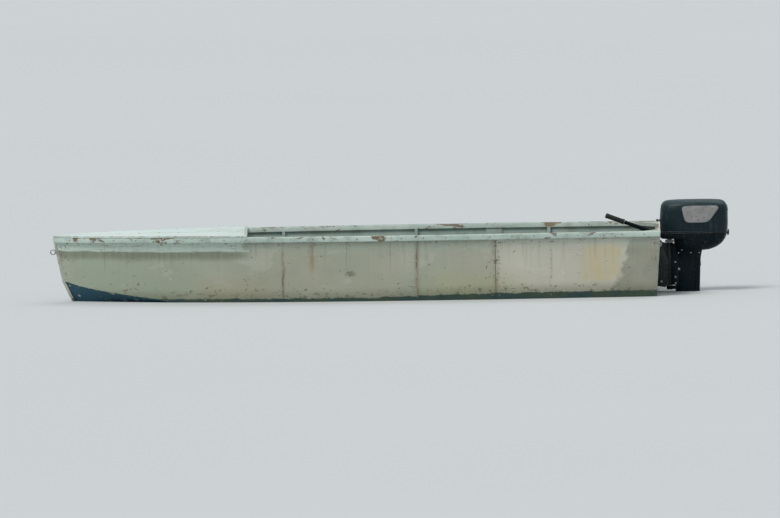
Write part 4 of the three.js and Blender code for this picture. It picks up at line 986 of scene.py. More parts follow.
for name, sign in SIGN.items():
    flip = np.array([1, sign, 1]) * MM
    for part, x0, x1, cols, mat, slot in (("forward", None, SEAM_X - 0.0004, 420, TOPSIDE, "topside_paint"), ("aft", SEAM_X + 0.0004, None, 160, TOPSIDE_AFT, "topside_paint_aft")):
        outer = lofted_side(x0, x1, cols, 30, 0.0)
        b = bulge(outer)
        inner = lofted_side(x0, x1, cols, 30, PLY)
        outer[..., 1] += b * 0.5 - 0.4
        inner[..., 1] += b * 0.5 - 0.4
        v, f = sheet(outer * flip, inner * flip)
        k = len(v) // 2
        fm = [1 if min(q) >= k else 0 for q in f]
        piece(f"side_sheet_{name}_{part}", v, f, "hull", [mat, INSIDE], replaces=f"side_panel_{name}_{part}", slot=slot, face_mats=fm, sharp=50, bevel=(0.0012, 2))

    # bottom sheets, with the rim value that drives chipping along the edges
    for part, x0, x1, cols in (("forward", None, BOTTOM_SEAM_X - 0.0004, 150), ("aft", BOTTOM_SEAM_X + 0.0004, None, 70)):
        rows = 24
        w = np.linspace(0, 1, rows)[None, :] * np.ones((cols, 1))
        u = np.linspace(0, 1, cols)[:, None]
        first = (K[0, 0] + (C[0, 0] - K[0, 0]) * w) if x0 is None else np.full_like(w, x0 / MM)
        last = (K[-1, 0] + (C[-1, 0] - K[-1, 0]) * w) if x1 is None else np.full_like(w, x1 / MM)
        x = first + (last - first) * u ** (1.15 if x0 is None else 1)
        t = np.zeros_like(x)
        for j in np.ndindex(x.shape):
            t[j] = np.interp(x[j], K[:, 0] + (C[:, 0] - K[:, 0]) * w[j], T)
        nb, nc, across = ip(NB, t), ip(NC, t), ip(OUT, t)
        width = np.maximum(np.linalg.norm(ip(C, t) - ip(K, t), axis=-1), 20)
        mitre = PLY * (1 - (nb * nc).sum(-1)) / np.maximum(-(nc * across).sum(-1), 0.1)
        low = bottom(t, w * (1 - 0.5 / width), 0.0)
        high = bottom(t, w * (1 - (mitre + 0.5) / width), PLY)
        low[:, 0, 1] = high[:, 0, 1] = 0.2
        low[..., 2] += 0.8 * waves(low * MM, 4.0, 8, 2)
        rim = np.maximum(np.exp(-((1 - w) * 300 / 18.0)), np.exp(-u * 400 / 20.0) * np.ones_like(w) if x0 is None else 0)
        v, f = sheet(low * flip, high * flip)
        k = len(v) // 2
        fm = [1 if min(q) >= k else 0 for q in f]
        piece(f"bottom_sheet_{name}_{part}", v, f, "hull", [BOTTOM, BILGE], replaces=f"bottom_panel_{name}_{part}", slot="bottom_paint", face_mats=fm, sharp=50, bevel=(0.0015, 2), attributes={"rim": np.concatenate([rim.ravel(), rim.ravel()])})


def sheer_bar(t, offs_heights, sign):
    """Rings of a bar that follows the sheer: pairs of (mm inboard of the sheet's outer face, mm below the sheer)."""
    s, n, up = ip(S, t), ip(NS, t), ip(UP, t)
    rings = []
    for o, h in offs_heights:
        d = (h + n[:, 2] * o) / up[:, 2]
        rings.append(s + n * o - up * d[:, None])
    return np.stack(rings, 1) * np.array([1, sign, 1]) * MM


def round_profile(a0, a1, b0, b1, radii, n=4):
    """Closed rectangle a0..a1 by b0..b1 with corner radii (a0b0, a1b0, a1b1, a0b1)."""
    out = []
    for (ca, cb, sa, sb, start), r in zip(((a0, b0, 1, 1, 180), (a1, b0, -1, 1, 270), (a1, b1, -1, -1, 0), (a0, b1, 1, -1, 90)), radii):
        out += arc(ca + sa * r, cb + sb * r, r, start, start + 90, n)
    return out


T_AT = lambda x: np.interp(x / MM, S[:, 0], T)
for name, sign in SIGN.items():
    # rub rail: outboard of the sheet, two lengths scarfed together
    prof = [(-0.3 - a, b) for a, b in round_profile(0, RAIL_T, 0, RAIL_H, (1.0, 7.5, 6.0, 1.0), 5)]
    t = np.concatenate([[0.0], np.linspace(0.002, 0.9995, 330)])
    rings = sheer_bar(t, prof, sign)
    wob = waves(rings, 5.0, 21, 2)[..., None]
    rings = rings + wob * np.array([0, 0.0005, 0.0004])
    v, f = loft(rings)
    up = np.tile([1.0 if b < 8 and 4 < -a - 0.3 else 0.75 if b > 33 else 0.25 for a, b in prof], len(t))
    rim = up * (0.55 + 0.45 * np.clip(waves(v, 11.0, 22, 3), -1, 1))
    piece(f"gunwale_rail_{name}", v, f, "hull", [RAIL], replaces=f"rub_rail_{name}", slot="rail_paint", attributes={"rim": rim})
    for x in np.arange(-2.08, 2.18, 0.16):
        tt = T_AT(x)
        p = sheer_bar(np.array([tt]), [(-0.3 - RAIL_T, 20)], sign)[0, 0]
        n = ip(NS, np.array([tt]))[0] * np.array([-1, -sign, -1])
        heads["rail"].add(head(p, n, 0.0055, 0.0010))

    prof = round_profile(PLY + 0.4, PLY + INWALE_T, 0.2, INWALE_H, (1.0, 4.5, 4.0, 1.0), 4)
    t = np.linspace(T_AT(-2.050), T_AT(2.1752), 300)
    rings = sheer_bar(t, prof, sign)
    v, f = loft(rings)
    up = np.tile([1.0 if b < 5 and a > PLY + 12 else 0.3 for a, b in prof], len(t))
    piece(f"gunwale_inner_{name}", v, f, "hull", [INWALE], replaces=f"inwale_{name}", slot="timber", attributes={"rim": up * (0.5 + 0.5 * np.clip(waves(v, 9.0, 23, 3), -1, 1))})

    # chine log in the corner of side and bottom
    t = np.linspace(np.interp(-1780, C[:, 0], T), np.interp(2140, C[:, 0], T), 160)
    c, up3, out3, nc, nb = ip(C, t), ip(UP, t), ip(OUT, t), ip(NC, t), ip(NB, t)
    ku, ko = (nb * up3).sum(-1), (nc * out3).sum(-1)

    def corner(a, b):
        return c + up3 * (b / ku)[:, None] + out3 * (a / ko)[:, None]

    prof = round_profile(PLY + 0.5, PLY + 24, PLY + 0.5, PLY + 34, (0.6, 3, 5, 1), 3)
    rings = np.stack([corner(a, b) for a, b in prof], 1)
    v, f = loft(rings * np.array([1, sign, 1]) * MM)
    piece(f"chine_batten_{name}", v, f, "hull", [INSIDE], replaces=f"chine_log_{name}", slot="inside_paint")

    # seat riser on the frames
    x = np.linspace(-0.8535, 2.089, 150)
    prof = round_profile(55.8, 75.4, 186.3, 229.8, (1, 3, 3, 1), 3)
    rings = np.stack([np.stack([x, sign * side_y(x, z * MM, a), np.full_like(x, z * MM)], -1) for a, z in prof], 1)
    v, f = loft(rings)
    piece(f"seat_stringer_{name}", v, f, "hull", [TIMBER], replaces=f"seat_riser_{name}", slot="timber")

    # fastener rows on the outside of the sheets
    for x in np.arange(-1.95, 2.12, 0.12):
        zc = np.interp(x / MM, C[:, 0], C[:, 2]) * MM
        z = zc + 0.032
        y = side_y(x, z, 0.1)
        heads["side"].add(head((x, sign * y, z), (0, sign, -0.15), 0.0045, 0.0009))
    for x in (*FRAME_X, SEAM_X - 0.025, SEAM_X + 0.025):
        for z in np.arange(0.03, 0.43, 0.065):
            y = side_y(x, z, 0.1)
            heads["side"].add(head((x, sign * y, z), (0, sign, -0.15), 0.0045, 0.0009))
    for z in np.arange(0.20, 0.45, 0.05):
        x = -2.2 + (0.47 - z) * 0.205 + 0.016
        y = side_y(x, z, 0.1)
        heads["side"].add(head((x, sign * y, z), (-0.55, sign, -0.1), 0.0045, 0.0009))
    for z in np.arange(0.0, 0.43, 0.055):
        x = 2.2 - (0.48 - z) * RAKE - 0.014
        y = side_y(x, z, 0.1)
        heads["side"].add(head((x, sign * y, z), (0, sign, -0.15), 0.0045, 0.0009))

# ---------------------------------------------------------------- foredeck
t = np.concatenate([np.linspace(0, 0.05, 16)[:-1], np.linspace(0.05, float(T_AT(-0.80)), 70)])
edge = ip(S, t) - ip(NS, t) * (RAIL_T + 3.0)
nose = edge[0].copy()
xs = np.interp(np.linspace(0, 1, 90), np.linspace(0, 1, len(t)), edge[:, 0])
keep = edge[:, 0] <= -800.4
edge = edge[keep]
edge = np.vstack([edge, [-800.4, np.interp(-800.4, S[:, 0] - NS[:, 0] * (RAIL_T + 3), S[:, 1] - NS[:, 1] * (RAIL_T + 3)), 480.0]])
zs = np.interp(edge[:, 0], S[:, 0], S[:, 2])
lat = np.linspace(-1, 1, 61)
lat = np.sign(lat) * np.abs(lat) ** 0.9
grid = np.zeros((len(edge), len(lat), 3))
grid[..., 0] = edge[:, 0:1] + 0 * lat[None, :]
grid[..., 1] = edge[:, 1:2] * lat[None, :]
grid[..., 2] = zs[:, None]
# the nose is rounded off between the rails
nose_len = 7.0
grid[0, :, 0] += nose_len * np.abs(lat) ** 2.5
dip = 0.9 * waves(grid * MM, 5.0, 31, 2)
top = grid + np.stack([0 * dip, 0 * dip, 11.2 + dip], -1)
low = grid + np.array([0, 0, 0.4])
v, f = sheet(top[::-1] * MM, low[::-1] * MM)
span = np.abs(lat)[None, :] * edge[:, 1:2]
dist = np.minimum(edge[:, 1:2] - span, np.minimum(-800.4 - edge[:, 0:1], 400) + 0 * span)
rim = np.exp(-np.maximum(dist, 0) / 16.0)[::-1]
piece("foredeck_sheet", v, f, "hull", [DECK], replaces="foredeck", slot="deck_paint", sharp=50, bevel=(0.003, 3), attributes={"rim": np.concatenate([rim.ravel(), rim.ravel() * 0 + 0.6])})
for sign in (-1, 1):
    for x in np.arange(-2.10, -0.82, 0.13):
        j = np.interp(x / MM, edge[:, 0], edge[:, 1]) * MM - 0.026
        heads["deck"].add(head((x, sign * j, float(sheer_z(x)) + 0.0115), (0, 0, 1), 0.0050, 0.0009))
    for x in np.arange(-2.02, -0.86, 0.144):
        heads["deck"].add(head((x, sign * 0.019, float(sheer_z(x)) + 0.0115), (0, 0, 1), 0.0050, 0.0009))
for y in np.arange(-0.52, 0.53, 0.104):
    heads["deck"].add(head((-0.814, y, 0.4918), (0, 0, 1), 0.0050, 0.0009))

# ---------------------------------------------------------------- stem and cutwater
path = [np.array([(470 - z) * (66 / 324) - MID, 0, z]) for z in np.linspace(466, 146, 26)]
kt = np.linspace(0, 0.45, 240)[1:]
kp = keel_at(kt)
kp = kp[(kp[:, 0] < -1510.6)]
path = np.array(path + [q for q in kp[::3]])
seg = np.linalg.norm(np.diff(path, axis=0), axis=1)
arc_len = np.concatenate([[0], np.cumsum(seg)])
even = np.linspace(0, arc_len[-1], 110)
path = np.stack([np.interp(even, arc_len, path[:, k]) for k in range(3)], -1)
smooth = path.copy()
for _ in range(14):
    smooth[1:-1] = 0.5 * smooth[1:-1] + 0.25 * (smooth[:-2] + smooth[2:])
tan = unit(np.gradient(smooth, axis=0))
outn = np.stack([tan[:, 2], 0 * tan[:, 2], -tan[:, 0]], -1)
outn = outn * np.where(outn[:, 2:3] - outn[:, 0:1] * 0 > 0.2, -1, 1)
outn = np.where((outn[:, 0:1] > 0.3), -outn, outn)
rings = []
prof = [(-16.5, -1.0), (-16.5, 8.0), (-14.0, 13.5), (-9.0, 17.5), (-3.0, 19.2), (3.0, 19.2), (9.0, 17.5), (14.0, 13.5), (16.5, 8.0), (16.5, -1.0)]
for q, n in zip(path, outn):
    rings.append([q + n * h + np.array([0, w, 0]) for w, h in prof])
v, f = loft(np.array(rings) * MM)
rim = np.tile([0.1, 0.4, 0.7, 0.9, 1.0, 1.0, 0.9, 0.7, 0.4, 0.1], len(path)) * (0.6 + 0.4 * np.clip(waves(v, 14.0, 41, 3), -1, 1))
piece("cutwater", v, f, "hull", [CUTWATER], replaces="cutwater_strip", slot="rail_paint", attributes={"rim": rim})
for z in np.arange(0.20, 0.46, 0.07):
    x = -2.2 + (0.47 - z) * 0.205 - 0.0192
    heads["rail"].add(head((x, 0, z), (-1, 0, -0.2), 0.0050, 0.0010))

# CAD timber that stays, with softened edges
dress("stem_post", TIMBER, (0.0015, 2))
dress("keel_strip", BOTTOM, (0.002, 2))
for k in (1, 2, 3):
    dress(f"frame_{k}", INSIDE_FRAME, (0.0022, 2))
for name in SIGN:
    dress(f"side_butt_strap_{name}", INSIDE_FRAME, (0.0015, 2))
    dress(f"quarter_knee_{name}", TIMBER_Y, (0.0025, 2))
dress("foredeck_beam", TIMBER_Y, (0.0025, 2))
dress("foredeck_bulkhead", INSIDE_FRAME, (0.0015, 2))
dress("thwart_middle", SEATS, (0.003, 3))
dress("thwart_aft", SEATS, (0.003, 3))
for name in ("port", "middle", "starboard"):
    dress(f"floorboard_{name}", BOARDS, (0.002, 2))
dress("transom", TRANSOM, (0.0025, 3))
dress("transom_pad_inner", PAD, (0.0025, 2))
dress("transom_pad_outer", PAD, (0.0025, 2))
dress("bow_eye", STEEL)

# inside fasteners: seats, floor, transom
for x0, x1 in ((0.130, 0.370), (1.130, 1.370)):
    for sign in (-1, 1):
        for x in (x0 + 0.045, x1 - 0.045):
            for inset in (0.067,):
                y = side_y((x0 + x1) / 2, 0.245, 65.0)
                heads["inside"].add(head((x, sign * y, 0.2583), (0, 0, 1), 0.0055, 0.0012))
for yc in (-0.204, 0.0, 0.204):
    for x in (-0.66, *FRAME_X, 2.03):
        for dy in (-0.055, 0.055):
            heads["inside"].add(head((x, yc + dy, -0.0257), (0, 0, 1), 0.0050, 0.0010))
for sign in (-1, 1):
    for z in np.arange(0.02, 0.42, 0.06):
        x = 2.2 - (0.48 - z) * RAKE
        y = float(side_y(x - 0.01, z, PLY + 14))
        heads["inside"].add(head((x + 0.0002, sign * y, z), (1, 0, -0.07), 0.0048, 0.0010))
    for y, z in ((0.105, 0.14), (0.105, 0.22), (0.105, 0.285)):
        x = 2.2 - (0.48 - z) * RAKE + 0.0084
        heads["inside"].add(head((x, sign * y, z), (1, 0, -0.07), 0.0060, 0.0012))
    for y, z in ((0.165, 0.02), (0.165, 0.12), (0.165, 0.22), (0.165, 0.285), (0.055, 0.02)):
        x = 2.2 - (0.48 - z) * RAKE - 0.0424
        heads["inside"].add(head((x, sign * y, z), (-1, 0, 0.07), 0.0060, 0.0012))
    for x, y in ((2.145, 0.45), (2.145, 0.53), (2.09, 0.585)):
        heads["inside"].add(head((x, sign * y, 0.476), (0, 0, 1), 0.0050, 0.0010))
heads["rail"].piece("rail_fasteners", "hull", [SCREW], slot="screw_steel", sharp=60)
heads["side"].piece("sheet_fasteners", "hull", [SCREW], slot="screw_steel", sharp=60)
heads["deck"].piece("deck_fasteners", "hull", [SCREW], slot="screw_steel", sharp=60)
heads["inside"].piece("inside_fasteners", "hull", [SCREW], slot="screw_steel", sharp=60)

# drain plug in the foot of the transom
b = Body()
dz = 0.02
dx = 2.2 - (0.48 - dz) * RAKE
b.add(turn([(0.016, -0.002), (0.016, 0.003), (0.0145, 0.0045), (0.009, 0.0045)], "x", (dx, 0.30, dz), 28))
b.add(turn([(0.0065, 0.003), (0.0065, 0.009), (0.0055, 0.0105)], "x", (dx, 0.30, dz), 6))
b.piece("drain_plug", "hull", [STEEL], slot="steel")

# ---------------------------------------------------------------- outboard motor
def pchip(zs, ys, z):
    zs, ys = np.asarray(zs, float), np.asarray(ys, float)
    h, d = np.diff(zs), np.diff(ys) / np.diff(zs)
    m = np.zeros_like(ys)
    for i in range(1, len(ys) - 1):
        if d[i - 1] * d[i] > 0:
            w1, w2 = 2 * h[i] + h[i - 1], h[i] + 2 * h[i - 1]
            m[i] = (w1 + w2) / (w1 / d[i - 1] + w2 / d[i])
    m[0], m[-1] = d[0], d[-1]
    i = np.clip(np.searchsorted(zs, z, "right") - 1, 0, len(zs) - 2)
    s = (z - zs[i]) / h[i]
    return ((2 * s**3 - 3 * s**2 + 1) * ys[i] + (s**3 - 2 * s**2 + s) * h[i] * m[i] + (-2 * s**3 + 3 * s**2) * ys[i + 1] + (s**3 - s**2) * h[i] * m[i + 1])


def oval(z, x0, x1, half, e, n, inset=0.0):
    a, b, c = (x1 - x0) / 2 - inset, half - inset, (x0 + x1) / 2
    t = np.linspace(0, 2 * np.pi, n, endpoint=False)
    co, si = np.cos(t), np.sin(t)
    return np.stack([c + a * np.sign(co) * np.abs(co) ** (2 / e), b * np.sign(si) * np.abs(si) ** (2 / e), np.full(n, z)], -1)


def ovals(table, z, n=96, inset=None):
    """Smooth rings from a table of (z, x0, x1, half, e), mm."""
    tb = np.array(table, float)
    cols = [pchip(tb[:, 0], tb[:, k], z) for k in range(1, 5)]
    rings = []
    for i, zz in enumerate(z):
        rings.append(oval(zz, cols[0][i], cols[1][i], cols[2][i], cols[3][i], n, inset(zz) if inset else 0.0))
    return np.array(rings)


COVER = [(430.4, 2204, 2694, 150, 3.6), (500, 2204, 2699, 152, 3.7), (580, 2207, 2699, 150, 3.6), (630, 2215, 2690, 142, 3.3), (652, 2230, 2674, 128, 3.0), (664, 2256, 2648, 104, 2.8), (668, 2300, 2600, 72, 2.6)]


def groove(z):
    out = 0.0
    for at, w, d in ((447.0, 3.0, 2.2), (641.0, 2.2, 1.0)):
        out += d * math.exp(-(((z - at) / w) ** 4))
    if z < 434:
        out += 1.5
    return out


z = np.unique(np.concatenate([np.linspace(431.2, 455, 26), np.linspace(455, 600, 24), np.linspace(600, 630, 22), np.linspace(630, 667.9, 22)]))
rings = ovals(COVER, z, 128, groove)
top = rings[-1]
cx, extra = top.mean(0), []
for k, dzz in ((0.75, 0.35), (0.45, 0.6), (0.15, 0.7)):
    q = cx + (top - cx) * k
    q[:, 2] += dzz
    extra.append(q)
b = Body()
b.add(loft(np.concatenate([rings, np.array(extra)]) * MM))


def cover_y(x, z):
    """Half width of the cover at x, z in metres."""
    tb = np.array(COVER, float)
    x0, x1, h, e = [pchip(tb[:, 0], tb[:, k], np.asarray(z, float) / MM) for k in range(1, 5)]
    s = np.clip(np.abs((np.asarray(x, float) / MM - (x0 + x1) / 2) / ((x1 - x0) / 2)), 0, 1)
    return h * (1 - s**e) ** (1 / e) * MM


b.piece("motor_cover", "motor", [COWL], replaces="cowl_cover", slot="cover_plastic", sharp=42)

# light grey side panels, one each side, following the cover: decal areas that are partly a painted sun highlight
for name, sign in SIGN.items():
    x = np.linspace(2.342, 2.630, 41)
    zz = np.linspace(0.508, 0.630, 17)
    gx, gz = np.meshgrid(x, zz, indexing="ij")
    # forward-leaning ends and rounded corners
    cxm, czm = 2.486, 0.569
    u, w = (gx - cxm) / 0.144, (gz - czm) / 0.061
    edge_d = np.maximum(np.abs(u), np.abs(w))
    k = (np.abs(u) ** 6 + np.abs(w) ** 6 + 1e-24) ** (1 / 6) / np.maximum(edge_d, 1e-4)
    u, w = u / k, w / k
    gx = cxm + 0.144 * u + 0.016 * w - 0.030 * u * (1 - w)
    gz = czm + 0.061 * w
    y = cover_y(gx, gz)
    raised = y + 0.0011 * np.clip((1 - edge_d) * 14, 0, 1) ** 0.5 + 0.0010
    outer = np.stack([gx, sign * raised, gz], -1)
    inner = np.stack([gx, sign * (y - 0.002), gz], -1)
    v, f = sheet(outer, inner)
    piece(f"grey_side_panel_highlight_{name}", v, f, "motor", [PANEL_AND_HIGHLIGHT], slot="cover_plastic", sharp=50)

# rubber seal between cover and pan
rings = [oval(zq, 2203 - g0, 2695 + g0, 151 + g0, 3.6, 128) for zq, g0 in ((426.5, -2.0), (427.5, 0.4), (430.5, 1.6), (433.5, 0.4), (434.5, -2.0))]
piece("cover_seal", *loft(np.array(rings) * MM), "motor", [SEAL], slot="grip_rubber")

# air intake at the back of the cover, a hood with three slots
b = Body()
for i, zc in enumerate((0.622, 0.607, 0.592)):
    zz = np.array([zc - 0.0042, zc - 0.0036, zc + 0.0030, zc + 0.0046])
    tb = np.array(COVER, float)
    x1 = pchip(tb[:, 0], tb[:, 2], zz / MM) * MM
    grow = np.array([-0.002, 0.0030, 0.0042, -0.001])
    yy = np.linspace(-0.082, 0.082, 41)
    e = pchip(tb[:, 0], tb[:, 4], zz / MM)
    h = pchip(tb[:, 0], tb[:, 3], zz / MM) * MM
    x0 = pchip(tb[:, 0], tb[:, 1], zz / MM) * MM
    rings = []
    for y in yy:
        taper = 1 - (abs(y) / 0.083) ** 6
        r = []
        for j in range(4):
            xx = (x0[j] + x1[j]) / 2 + (x1[j] - x0[j]) / 2 * (1 - (abs(y) / h[j]) ** e[j]) ** (1 / e[j])
            r.append((xx + grow[j] * (taper if grow[j] > 0 else 1), y, zz[j]))
        rings.append(r + [(r[-1][0] - 0.012, y, zz[-1] - 0.001), (r[0][0] - 0.012, y, zz[0] + 0.001)])
    b.add(loft(rings))
b.piece("intake_louvres", "motor", [COWL], slot="cover_plastic", sharp=30)

# latches, one at the front and one at the back of the pan
b = Body()
b.add(prism([(2.6935, 0.404), (2.7045, 0.408), (2.7075, 0.420), (2.7065, 0.444), (2.7015, 0.449), (2.6965, 0.446), (2.6975, 0.430), (2.6915, 0.422)], "y", -0.019, 0.019, 0.0022, 2))
b.add(turn([(0.0045, -0.024), (0.0045, 0.024)], "y", (2.6985, 0, 0.412), 16))
b.piece("cover_latch_aft", "motor", [CASTING], slot="bracket_casting")

# pan: lower half of the motor's housing
PAN = [(305, 2334, 2560, 84, 3), (320, 2318, 2604, 106, 3), (352, 2306, 2652, 130, 3.2), (386, 2304, 2678, 143, 3.4)]
PAN_TOP = [(389, 2210, 2679, 144, 3.4), (402, 2206.5, 2684, 146.5, 3.5), (430, 2204, 2694, 150, 3.6)]
rings = list(ovals(PAN, np.linspace(305.3, 386, 26), 128))
rings += list(ovals(PAN_TOP, np.linspace(389, 429.3, 14), 128, lambda q: 1.6 * math.exp(-(((q - 420) / 2.2) ** 4)) + max(0.0, (392 - q)) * 0.9))
b = Body()
b.add(loft(np.array(rings) * MM))
# ribs under the pan, and bolts into the leg flange
for s in (-1, 1):
    for xx in (2.400, 2.450, 2.500, 2.550):
        y0 = 0.118 * s
        b.add(block(xx - 0.003, xx + 0.003, min(y0, y0 + 0.014 * s), max(y0, y0 + 0.014 * s), 0.334, 0.372, 0.0012, 2))
    b.add(hexhead((2.360, s * 0.076, 0.3075), (0, 0, -1), 0.007, 0.005), 1)
    b.add(hexhead((2.520, s * 0.074, 0.3075), (0, 0, -1), 0.007, 0.005), 1)
b.piece("motor_lower_housing", "motor", [LEG, STEEL], replaces="motor_pan", slot="motor_paint", sharp=42)

# tell-tale outlet and fuel connector on the pan
b = Body()
b.add(turn([(0.0085, 0.139), (0.0085, 0.1475), (0.0065, 0.149), (0.0035, 0.149)], "y", (2.590, 0, 0.412), 20))
# near-black disc in the outlet's bore: painted shade
b.add(turn([(0.0034, 0.146), (0.0034, 0.1492)], "y", (2.590, 0, 0.412), 12), 1)
b.piece("water_outlet", "motor", [GRIP, HOLE_SHADE], slot="grip_rubber")
b = Body()
b.add(block(2.199, 2.206, -0.104, -0.066, 0.398, 0.424, 0.002, 2))
b.add(turn([(0.0045, 2.188), (0.0062, 2.190), (0.0062, 2.199)], "x", (0, -0.085, 0.411), 16), 1)
b.add(turn([(0.0105, 2.192), (0.0115, 2.194), (0.0115, 2.203)], "x", (0, 0.080, 0.411), 20))
b.add(turn([(0.0085, 2.1885), (0.0092, 2.190), (0.0092, 2.196)], "x", (0, 0.080, 0.411), 20), 2)
b.piece("front_fittings", "motor", [CASTING, BRIGHT, GRIP], slot="bracket_casting")

# leg
LEG_T = [(-116, 2322, 2482, 33, 2.2), (-40, 2314, 2486, 35, 2.2), (110, 2310, 2492, 38, 2.4), (240, 2310, 2498, 44, 2.6), (285, 2308, 2506, 58, 3), (304.7, 2308, 2512, 66, 3)]
z = np.unique(np.concatenate([np.linspace(-116, -100, 8), np.linspace(-100, 230, 40), np.linspace(230, 304.7, 30)]))
rings = ovals(LEG_T, z, 96, lambda q: 1.6 * math.exp(-(((q - 292.5) / 1.6) ** 4)) + 1.4 * math.exp(-(((q + 96) / 1.5) ** 4)))
b = Body()
b.add(loft(rings * MM))
yoke = [(2.246, -0.016), (2.262, -0.030), (2.326, -0.036), (2.336, -0.030), (2.336, 0.030), (2.326, 0.036), (2.262, 0.030), (2.246, 0.016)]
b.add(prism(yoke, "z", 0.0185, 0.0415, 0.003, 3))
for s in (-1, 1):
    # long pressed ribs on the sides, mount bolts and cover plates
    for x0, x1, za, zb in ((2.345, 2.351, -0.07, 0.225), (2.457, 2.463, -0.07, 0.225)):
        y0 = 0.0325 if s > 0 else -0.0385
        b.add(block(x0, x1, y0 if s > 0 else y0, y0 + 0.006, za, zb, 0.0018, 2))
    cheek = [(2.2845, 0.0362), (2.2860, 0.0348), (2.3000, 0.0338), (2.3180, 0.0240), (2.3420, 0.0240), (2.3460, 0.0330), (2.3360, 0.0392), (2.3050, 0.0412), (2.2880, 0.0400), (2.2850, 0.0384)]
    for za, zb in ((0.0500, 0.1180), (0.1190, 0.2280), (0.2290, 0.3480)):
        c = prism(cheek, "z", za, zb, 0.0012, 2)
        b.add(c if s > 0 else mirror(c))
    for zz in (0.062, 0.106, 0.216):
        b.add(hexhead((2.312, s * 0.0408, zz), (0, s, 0), 0.0062, 0.0045), 1)
    b.add(turn([(0.017, 0.030), (0.017, 0.0415), (0.0145, 0.0435)], "y", (2.338, 0, 0.165), 28) if s > 0 else mirror(turn([(0.017, 0.030), (0.017, 0.0415), (0.0145, 0.0435)], "y", (2.338, 0, 0.165), 28)))
    b.add(hexhead((2.338, s * 0.0432, 0.165), (0, s, 0), 0.0085, 0.006), 1)
    for xx in (2.335, 2.425, 2.485):
        b.add(hexhead((xx, s * 0.0585, 0.2855), (0, 0, -1), 0.0065, 0.005), 1)
# exhaust relief holes behind, drawn as near-black discs of painted shade
for zz in (0.205, 0.190):
    b.add(turn([(0.0055, 2.4935), (0.0055, 2.4990)], "x", (0, 0, zz), 18), 2)
b.piece("leg_housing", "motor", [LEG, BRIGHT, HOLE_SHADE], replaces="drive_shaft_housing", slot="motor_paint", sharp=42)

# gearcase
PROP_Z = -0.236
STRUT = [(-240, 2330, 2500, 21, 2.0), (-215, 2328, 2499, 17.5, 2.0), (-180, 2326, 2498, 18, 2.0), (-140, 2323, 2497, 22, 2.0), (-124.3, 2322, 2496, 27, 2.0)]


def foil(z, x0, x1, half, n=72):
    """Streamlined plan section: round nose, fine tail."""
    t = np.linspace(0, 2 * np.pi, n, endpoint=False)
    s = 0.5 - 0.5 * np.cos(t)
    thick = half * 2.6 * (0.2969 * np.sqrt(s) - 0.126 * s - 0.3516 * s**2 + 0.2843 * s**3 - 0.1015 * s**4) / 0.25
    return np.stack([x0 + (x1 - x0) * s, np.where(np.sin(t) >= 0, 1, -1) * np.maximum(thick * 0.5, 0.4), np.full(n, z)], -1)


tb = np.array(STRUT, float)
rings = []
for zq in np.linspace(-240, -124.4, 20):
    x0, x1, h = [pchip(tb[:, 0], tb[:, k], zq) for k in (1, 2, 3)]
    rings.append(foil(zq, float(x0), float(x1), float(h)))
b = Body()
b.add(loft(np.array(rings) * MM))
prof_r = [(2288, 1.5), (2289.5, 6), (2294, 12), (2302, 19), (2314, 26), (2330, 32), (2350, 37), (2375, 40), (2400, 41), (2450, 41), (2475, 39.5), (2500, 37), (2510, 35.5), (2517.5, 34)]
b.add(turn([(r * MM, h * MM) for h, r in prof_r], "x", (0, 0, PROP_Z), 48))
rings = []
for s, (x0, x1, zz, h) in enumerate(((2350, 2484, -262, 6.5), (2364, 2482, -290, 5.4), (2382, 2479, -325, 4.2), (2396, 2477, -352, 3.3), (2404, 2474, -367, 2.7), (2412, 2468, -372, 1.4))):
    rings.append(foil(zz, x0, x1, h, 48))
b.add(loft(np.array(rings[::-1]) * MM))
b.add(turn([(0.009, 2.5165), (0.009, 2.586), (0.0078, 2.5895)], "x", (0, 0, PROP_Z), 24), 1)
# joint flange with four bolts, water inlet slots on both sides as near-black bars of painted shade
rings = [foil(zq, 2319 + g0, 2499 - g0, 29.5 - g0) for zq, g0 in ((-134, 2.2), (-132.8, 0.3), (-126.5, 0.0), (-125.0, 0.8))]
b.add(loft(np.array(rings) * MM))
for s in (-1, 1):
    for k in range(4):
        zc = -0.150 - 0.0075 * k
        b.add(block(2.372, 2.402, 0.0195 if s > 0 else -0.0225, 0.0225 if s > 0 else -0.0195, zc - 0.0018, zc + 0.0018, 0.0008, 1), 2)
    b.add(hexhead((2.400, s * 0.0395, PROP_Z), (0, s, 0), 0.0075, 0.004), 1)
b.piece("gearcase_housing", "motor", [LEG, BRIGHT, HOLE_SHADE], replaces="gearcase", slot="motor_paint", sharp=42)
# the anode hangs from the after end of the plate, clear of the turning blades
b = Body()
b.add(block(2.591, 2.643, -0.015, 0.015, -0.1275, -0.1236, 0.0012, 2))
b.add(prism([(2.594, -0.1255), (2.640, -0.1255), (2.641, -0.140), (2.636, -0.157), (2.616, -0.162), (2.599, -0.155), (2.593, -0.140)], "y", -0.0055, 0.0055, 0.0025, 3))
b.piece("trim_anode", "motor", [ANODE], slot="steel")
dress("ventilation_plate", LEG, (0.0022, 2))

